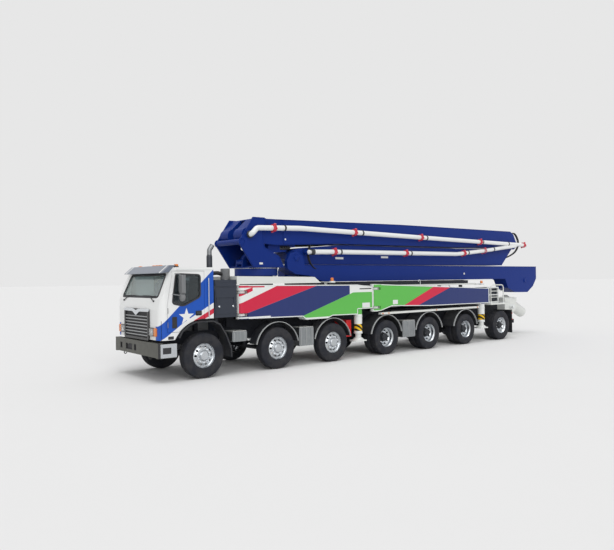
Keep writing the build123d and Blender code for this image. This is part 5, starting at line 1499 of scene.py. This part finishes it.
@dataclass
class Body:
    """The deck, the outrigger panels and the rear: edges, plates, hinge caps, dark oil lines and sheets that stand for
    painted shade under the boom, coolers and lamps.

    Attributes:
        face: The x of the outrigger panels' outer face.
        hinge: The top of the rear arm's hinge.
        agitator: The agitator's place.
    """

    face: float = 1.25
    hinge: Point = (1.115, 5.81, 2.119)
    agitator: Point = (0, 13.68, 1.14)

    def arms(self) -> None:
        """Raised edges, blank plates and hinge caps of the swing arms."""
        x = self.face
        lines = {"front": [(1.24, 2.1525), (4.98, 2.106), (5.576, 2.032), (5.576, 1.429), (4.966, 1.429),
                           (4.966, 1.276), (4.006, 1.289), (3.826, 1.226), (3.07, 1.226), (2.955, 1.314),
                           (1.24, 1.340)],
                 "rear": [(5.96, 2.102), (11.486, 1.890), (11.486, 1.381), (8.21, 1.398), (6.42, 1.464), (5.96, 1.347)]}
        plates = {"front": ((5.16, 1.45), (5.47, 1.59)), "rear": ((6.46, 1.50), (6.68, 1.63))}
        for name, line in lines.items():
            path = softened([(x, y, z) for y, z in line], 0.03, loop=False)
            edge = carried(path, oblong((-0.012, -0.001), (0.012, 0.006)), (1, 0, 0))
            blank = plate(*plates[name], x - 0.001, x + 0.003, cut=0.008)
            fit_pair([edge, blank], f"{name}_arm_edges", f"{name}_arm", Finish.WHITE, 30)
        # A black strip on the arm's face above the leg's housing: painted shade in the slot there.
        slot = plate((5.06, 1.982), (5.54, 2.012), x - 0.001, x + 0.004, cut=0.01)
        fit_pair(slot, "front_arm_slots", "front_arm", Finish.PLASTIC)
        cap = turned([(0.066, -0.01), (0.066, 0.008), (0.060, 0.012), (0.02, 0.014), (0, 0.014)], self.hinge, "Z", 32)
        heads = bolt_ring((1.115, 5.81, 2.114), 0.09, 6, 0.009, 0.012, "Z")
        fit_pair([cap, heads], "rear_hinge_cap", "rear_arm", Finish.BLACK_METAL, 30)
        for name, y in (("front", 5.11), ("rear", 11.21)):
            rings = [hoop(0.1175, 0.126, z - 0.02, z + 0.02, (1.115, y, 0), "Z") for z in (0.724, 1.20)]
            fit_pair(rings, f"{name}_sleeve_rings", f"{name}_arm", Finish.WHITE, 40)

    def deck(self) -> None:
        """Tread plates and side markers."""
        top = [(0.93, 2.3820), (3.35, 2.3495), (3.35, 2.3552), (0.93, 2.3878)]
        treads = [prism(top, 0.64, 1.21).both(),
                  prism(top[:1] + [(1.70, 2.3720), (1.70, 2.3775)] + top[3:], -0.62, 0.62),
                  plate((-0.88, 3.72), (0.88, 11.23), 2.0795, 2.0835, "Z"),
                  plate((-1.22, 11.66), (1.22, 12.88), 1.3445, 1.3485, "Z")]
        fit(treads, "deck_treads", Finish.TREAD, 30, slot="body_white")
        marks = [pebble((1.247, y, 1.243), (0.010, 0.030, 0.016)).both() for y in (6.02, 6.28, 8.55, 10.80)]
        fit(marks, "side_markers", Finish.AMBER, 50)

    def lines(self) -> None:
        """Dark oil lines in their clamps along the middle deck, with a dark sheet under them and dark side plates,
        which stand for painted shade between the boom and the deck; and the coolers on the rear platform.
        """
        # Painted shade under the boom: dark oil lines, a dark sheet under them, clamps and side plates, all in chassis
        # black.
        runs = [pipe([(x, 3.95, 2.116), (x, 10.85, 2.116)], 0.021, 0, 10) for x in np.linspace(-0.72, 0.72, 9)]
        runs.append(plate((3.9, 2.079), (10.86, 2.098), -0.78, 0.78))
        clamps = [(y, 0.06, 2.200) for y in np.arange(4.2, 10.8, 0.8)] + [(y, 0.09, 2.170) for y in (3.91, 10.79)]
        runs += [plate((y, 2.079), (y + long, top), -0.80, 0.80, cut=0.012) for y, long, top in clamps]
        runs += [plate((3.95, 2.079), (10.80, 2.190), x - 0.03, x + 0.03, cut=0.02) for x in (-0.84, 0.84)]
        # The dark lines, sheet, clamps and side plates make one piece that stands for painted shade under the boom.
        fit(runs, "oil_lines_and_shade_sheets", Finish.CHASSIS, 30)
        edge = ring(((11.78, 1.346), (12.42, 1.93), 0.03), ((11.83, 1.40), (12.37, 1.88), 0.02), 0.98, 1.06)
        middle = plate((11.82, 1.622), (12.38, 1.662), 1.0, 1.055)
        fit((edge + middle).both(), "cooler_frames", Finish.WHITE, 30, 0.004)
        fins = slats((11.83, 1.41), (12.37, 1.88), 0.028, 0.008, 0.999, 1.03)
        fit(joined([plate((11.80, 1.36), (12.40, 1.92), 0.45, 1.0), *fins]).both(), "cooler_cores", Finish.CABINET, 30)

    def fixings(self) -> None:
        """The line's hook and the railing's feet."""
        hook = eased([(1.0, 8.2, 2.083), (1.0, 8.2, 2.16), (1.0, 8.195, 2.20), (1.0, 8.16, 2.225), (1.0, 8.12, 2.205),
                      (1.0, 8.115, 2.17)], 36)
        fit(pipe(hook - [0.13, 0, 0], 0.011, 0, 10, (1, 0, 0)), "line_hook", Finish.WHITE, 60)
        foot = [(0.045, 0), (0.045, 0.008), (0.026, 0.012), (0.021, 0.03), (0.019, 0.03)]
        posts = [turned(foot, (1.2, y, 1.345), "Z", 24) for y in (11.7, 12.5)]
        fit(joined(posts).both(), "rail_feet", Finish.WHITE, 40)

    def rear(self) -> None:
        """Lamps on the rear bar and the mudflaps, the hopper's rim, and the agitator with its drives."""
        _, y, z = self.agitator
        red = [pebble((x, 13.272, 0.63), (0.05, 0.012, 0.032), 4, 24).both() for x in (1.06, 0.93)]
        red += [pebble((1.222, 13.009, low), (0.024, 0.018, 0.03)).both() for low in (0.934, 0.71)]
        fit(red, "rear_lamps", Finish.RED_LENS, 50)
        rim = ring(((-0.764, 13.286), (0.764, 14.164), 0.03), ((-0.712, 13.338), (0.712, 14.112), 0.02),
                   1.4545, 1.4795, "Z")
        drive = turned([(0.09, 0), (0.09, 0.05), (0.075, 0.055), (0.07, 0.16), (0.055, 0.17), (0, 0.17)],
                       (0.7505, y, z), "X", 36)
        heads = bolt_ring((0.80, y, z), 0.078, 8, 0.008, 0.008)
        fit(rim + (drive + heads).both(), "hopper_fittings", Finish.WHITE, 30, 0.003)
        shaft = turned([(0.035, -0.70), (0.035, 0.70)], self.agitator, "X", 24)
        blade = prism([(-0.05, 0.03), (0.05, 0.03), (0.03, 0.20), (-0.03, 0.20)], -0.008, 0.008)
        blades = [blade.turned("X", 60 * step).moved(-0.6 + 0.24 * step, y, z) for step in range(6)]
        fit([shaft, *blades], "agitator", Finish.STEEL, 30)

    def build(self) -> None:
        """Makes everything on the body."""
        for make in (self.arms, self.deck, self.lines, self.fixings, self.rear):
            make()


@dataclass
class Boom:
    """The boom's pins, plates, clamps, hoses and feet, and the turret's bolts, teeth and rims.

    Attributes:
        upper: The upper line as y and the height at each.
        lower: The lower line, likewise.
        couplings: The y of the couplings on the upper and the lower line.
        brackets: The y of the brackets on each.
        pipe_x: The lines' x.
        slew: The y of the turret's axis.
    """

    upper: tuple = ((1.86, 3.29, 9.98, 14.90), (3.65, 3.70, 3.61, 3.55))
    lower: tuple = ((3.65, 4.49, 10.37, 12.07, 14.13), (3.055, 3.075, 3.115, 3.275, 3.505))
    couplings: tuple = ((2.40, 5.38, 8.42, 11.75, 14.70), (4.56, 7.66, 10.75, 12.0))
    brackets: tuple = ((2.76, 5.70, 8.70, 11.90, 13.60), (4.80, 7.90, 11.0, 12.60))
    pipe_x: float = 0.735
    slew: float = 2.32

    def on_line(self, places: tuple) -> list[Point]:
        """The points at the upper and the lower line's places."""
        return [(self.pipe_x, y, float(np.interp(y, *line))) for line, ys in zip((self.upper, self.lower), places)
                for y in ys]

    def pins(self) -> None:
        """Round caps with a keeper plate and bolts at each hinge."""
        cap = [(0.001, 0.022), (0.55, 0.022), (0.62, 0.018), (0.66, 0.004), (1.0, 0.004), (1.0, 0), (0.9, 0)]
        shells = []
        for x, y, z, radius in ((0.540, 14.2, 3.5, 0.115), (0.600, 3.27, 2.89, 0.12), (0.600, 15.0, 2.15, 0.12)):
            shells.append(turned(np.array(cap) * [radius, 1.0], (x, y, z), "X", 40))
            shells.append(bolt_ring((x + 0.004, y, z), radius * 0.83, 6, 0.012, 0.012))
        fit(shells, "boom_pins", Finish.BOOM, 30, body="boom")

    def feet(self) -> None:
        """The brackets' bolted feet, the blank plates on the sections' sides and the line's joint."""
        shells = []
        for _, y, z in self.on_line(self.brackets):
            x = 0.5405 if z > 3.5 else 0.4805
            shells.append(plate((y - 0.075, z - 0.085), (y + 0.075, z + 0.085), x - 0.002, x + 0.010, cut=0.014))
            spots = [(x + 0.010, y + a, z + b) for a in (-0.055, 0.055) for b in (-0.062, 0.062)]
            shells.append(bolts(spots, "X", 0.011, 0.010))
        fit(shells, "bracket_feet", Finish.BOOM, 30, body="boom")
        plates = [plate((y - 0.16, z - 0.03), (y + 0.16, z + 0.03), 0.479, 0.4825, cut=0.006)
                  for y, z in ((4.99, 2.908), (6.94, 2.965))]
        fit(plates, "boom_plates", Finish.STICKER, body="boom")
        joint = [hoop(0.0710, 0.098, 0.640, 0.668, (0, 1.70, 3.48)), hoop(0.0710, 0.090, 0.676, 0.690, (0, 1.70, 3.48)),
                 hoop(0.0710, 0.084, -0.05, 0.07, (self.pipe_x, 3.72, 3.0565), "Y")]
        fit(joint, "line_joint", Finish.BLACK_METAL, 30, body="boom", slot="boom_blue")

    def hoses(self) -> None:
        """The hoses round the folds, the lamps, the valve block with its plate and hoses, and a blank plate."""
        rear = [(14.12, 3.98), (14.40, 4.035), (14.62, 4.01), (14.80, 3.84), (14.86, 3.64), (14.78, 3.44),
                (14.60, 3.28), (14.30, 3.15), (13.95, 3.05)]
        front = [(0.50, 3.86, 3.31), (0.56, 3.80, 3.22), (0.60, 3.71, 3.05), (0.62, 3.73, 2.82), (0.61, 3.86, 2.64),
                 (0.56, 4.10, 2.55), (0.50, 4.35, 2.50)]
        folds = [pipe([(x, y, z) for y, z in rear], 0.020, 60, up=(1, 0, 0)) for x in (0.39, 0.44)]
        folds += [pipe([(x - step, y, z) for x, y, z in front], 0.018, 50, up=(1, 0, 0)) for step in (0, 0.045)]
        fit(folds, "fold_hoses", Finish.HOSE, 60, body="boom")
        dots = [pebble(spot, (0.012, 0.034, 0.034), 3) for spot in ((0.60, 10.96, 2.427), (0.54, 2.93, 3.395))]
        fit(dots, "boom_lamps", Finish.STICKER, 50, body="boom")
        side = [(2.45, 3.24), (3.36, 3.262), (3.40, 3.20), (3.10, 3.17), (3.06, 3.06), (2.62, 3.03), (2.45, 3.10)]
        fit(prism(side, 0.19, 0.40), "valve_plate", Finish.BOOM, 30, body="boom")
        union = [(0.022, 0), (0.022, 0.10), (0.014, 0.12), (0, 0.12)]
        run = [(3.08, 3.20), (3.16, 3.235), (3.3, 3.232), (3.9, 3.262), (4.8, 3.312), (4.98, 3.37)]
        block = [pebble((0.08, 3.02, 3.165), (0.34, 0.20, 0.062), 8, 32)]
        block += [turned(union, (0.40, y, 3.18), "X", 18) for y in (2.88, 2.96, 3.04, 3.12)]
        block += [pipe([(x, y, z) for y, z in run], 0.016, 40, 10, (1, 0, 0)) for x in (-0.20, -0.08, 0.04, 0.16, 0.28)]
        fit(block, "valve_block", Finish.BLACK_METAL, 35, body="boom", slot="boom_blue")
        blank = plate((2.02, 2.700), (2.13, 2.752), 0.5995, 0.603, cut=0.006)
        fit(blank, "turret_plate", Finish.STICKER, body="turret")

    def clamps(self) -> None:
        """The couplings' lugs and levers, and saddles where brackets hold the line."""
        red, dark = [], []
        for centre in self.on_line(self.couplings):
            x, y, z = centre
            lug = pebble((x, y, z + 0.112), (0.020, 0.040, 0.026), 5, 16)
            lever = [(x + 0.06, y - 0.04, z + 0.085), (x + 0.10, y + 0.02, z + 0.04), (x + 0.107, y + 0.05, z - 0.04)]
            red += [lug.turned("Y", angle, centre) for angle in (35, 215)] + [pipe(eased(lever, 14), 0.008, 0, 8)]
            red += [hoop(0.0945, 0.102, low, low + 0.022, centre, "Y") for low in (-0.045, 0.023)]
        fit(red, "coupling_lugs", Finish.RED, 35, body="boom")
        for x, y, z in self.on_line(self.brackets):
            dark += [hoop(0.0710, 0.0800, -0.028, 0.028, (x, y, z), "Y", 36),
                     bolts([(x + side, y, z + 0.073) for side in (-0.03, 0.03)], "Z", 0.010, 0.016)]
        fit(dark, "line_saddles", Finish.BLACK_METAL, 35, body="boom", slot="boom_blue")

    def turret(self) -> None:
        """The slewing ring's bolts and the flanges round two side pins."""
        spots = ring_places((0, self.slew, 2.6645), 0.45, 30, "Z")
        shells = [bolts(spots[spots[:, 1] > 2.0], "Z", 0.016, 0.018)]
        for y, z, inner, outer in ((1.70, 3.48, 0.0705, 0.115), (1.478, 3.29, 0.079, 0.105)):
            shells.append(hoop(inner, outer, -0.002, 0.010, (0.600, y, z)).both())
            shells.append(bolt_ring((0.610, y, z), (inner + outer) / 2, 8, 0.008, 0.008).both())
        fit(shells, "turret_bolts", Finish.BOOM, 30, body="turret")
        fit(bolt_ring((0, self.slew, 2.4055), 0.55, 40, 0.014, -0.018, "Z"), "slewing_ring_bolts", Finish.BOOM, 30)

    def gear(self) -> None:
        """The slewing ring's teeth: a sine of 72 waves round the ring, cut flat above and below."""
        teeth, steps = 72, 432
        angle = angles(steps)
        tooth, foot = 0.5935 + 0.0045 * np.clip(3 * np.sin(teeth * angle), -1, 1), np.full(steps, 0.585)
        rows = [np.column_stack([radius * np.cos(angle), self.slew + radius * np.sin(angle), np.full(steps, z)])
                for radius, z in ((foot, 2.594), (tooth, 2.594), (tooth, 2.614), (foot, 2.614))]
        fit(Shell.grid(np.stack(rows), round_u=True), "slewing_gear", Finish.SATIN, 30, body="turret")

    def rims(self) -> None:
        """The head plates' raised rims."""
        edge = [(0.600, y, z) for y, z in ((2.790, 2.652), (1.842, 2.652), (1.418, 3.24), (1.860, 3.925),
                                           (2.19, 3.925), (2.275, 3.885), (2.135, 3.57), (2.180, 3.155),
                                           (2.675, 2.91))]
        rim = edging(edge, 0.04, oblong((-0.012, -0.001), (0.012, 0.008)), (1, 0, 0))
        fit(rim.both(), "head_rims", Finish.BOOM, 30, body="turret")

    def build(self) -> None:
        """Makes everything on the boom and the turret."""
        for make in (self.pins, self.feet, self.hoses, self.clamps, self.turret, self.gear, self.rims):
            make()


CARRIED: dict[str, Finish] = {
    "air_and_exhaust": Finish.STEEL, "axles_and_springs": Finish.CHASSIS, "boom_pipes": Finish.PIPE,
    "boom_section": Finish.BOOM, "cab_glass": Finish.GLASS, "cab_interior": Finish.TRIM, "cab_lamps": Finish.AMBER,
    "cab_shell": Finish.CAB, "cabinet_door": Finish.CABINET, "chassis_frame": Finish.CHASSIS, "deck": Finish.DECK,
    "door": Finish.CAB, "door_glass": Finish.SIDE_GLASS, "engine_block": Finish.IRON, "front_arm": Finish.FRONT_PANEL,
    "front_bumper": Finish.BUMPER, "front_leg": Finish.LEG, "grille": Finish.BRIGHT, "hopper": Finish.DECK,
    "knuckle": Finish.CHASSIS, "lift_barrel": Finish.BOOM, "lift_rod": Finish.ROD, "mudguards": Finish.ARCH,
    "pipe_couplings": Finish.RED, "pump_unit": Finish.DECK, "rear_arm": Finish.REAR_PANEL, "rear_leg": Finish.LEG,
    "side_cabinets": Finish.CABINET, "side_tanks": Finish.TANK, "subframe": Finish.SUBFRAME, "sun_visor": Finish.VISOR,
    "turret": Finish.BOOM,
}


def finish_frame() -> None:
    """Gives every CAD node that stays in view its finish, by its name without side and number."""
    for name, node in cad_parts.items():
        words = [word for word in name.split("_") if word not in SIDES and not word.isdigit()]
        finish = CARRIED.get("_".join(words), Finish.TYRE)
        for slot in node.material_slots:
            slot.material = finish.material


def main() -> None:
    """Builds the scene in order."""
    logging.basicConfig(level=logging.INFO, format="%(name)s: %(message)s")
    Studio().build()
    finish_frame()
    for part in (*WHEELS, Cab(), Bumper(), Cabinets(), Body(), Boom()):
        part.build()


if __name__ == "__main__":
    main()
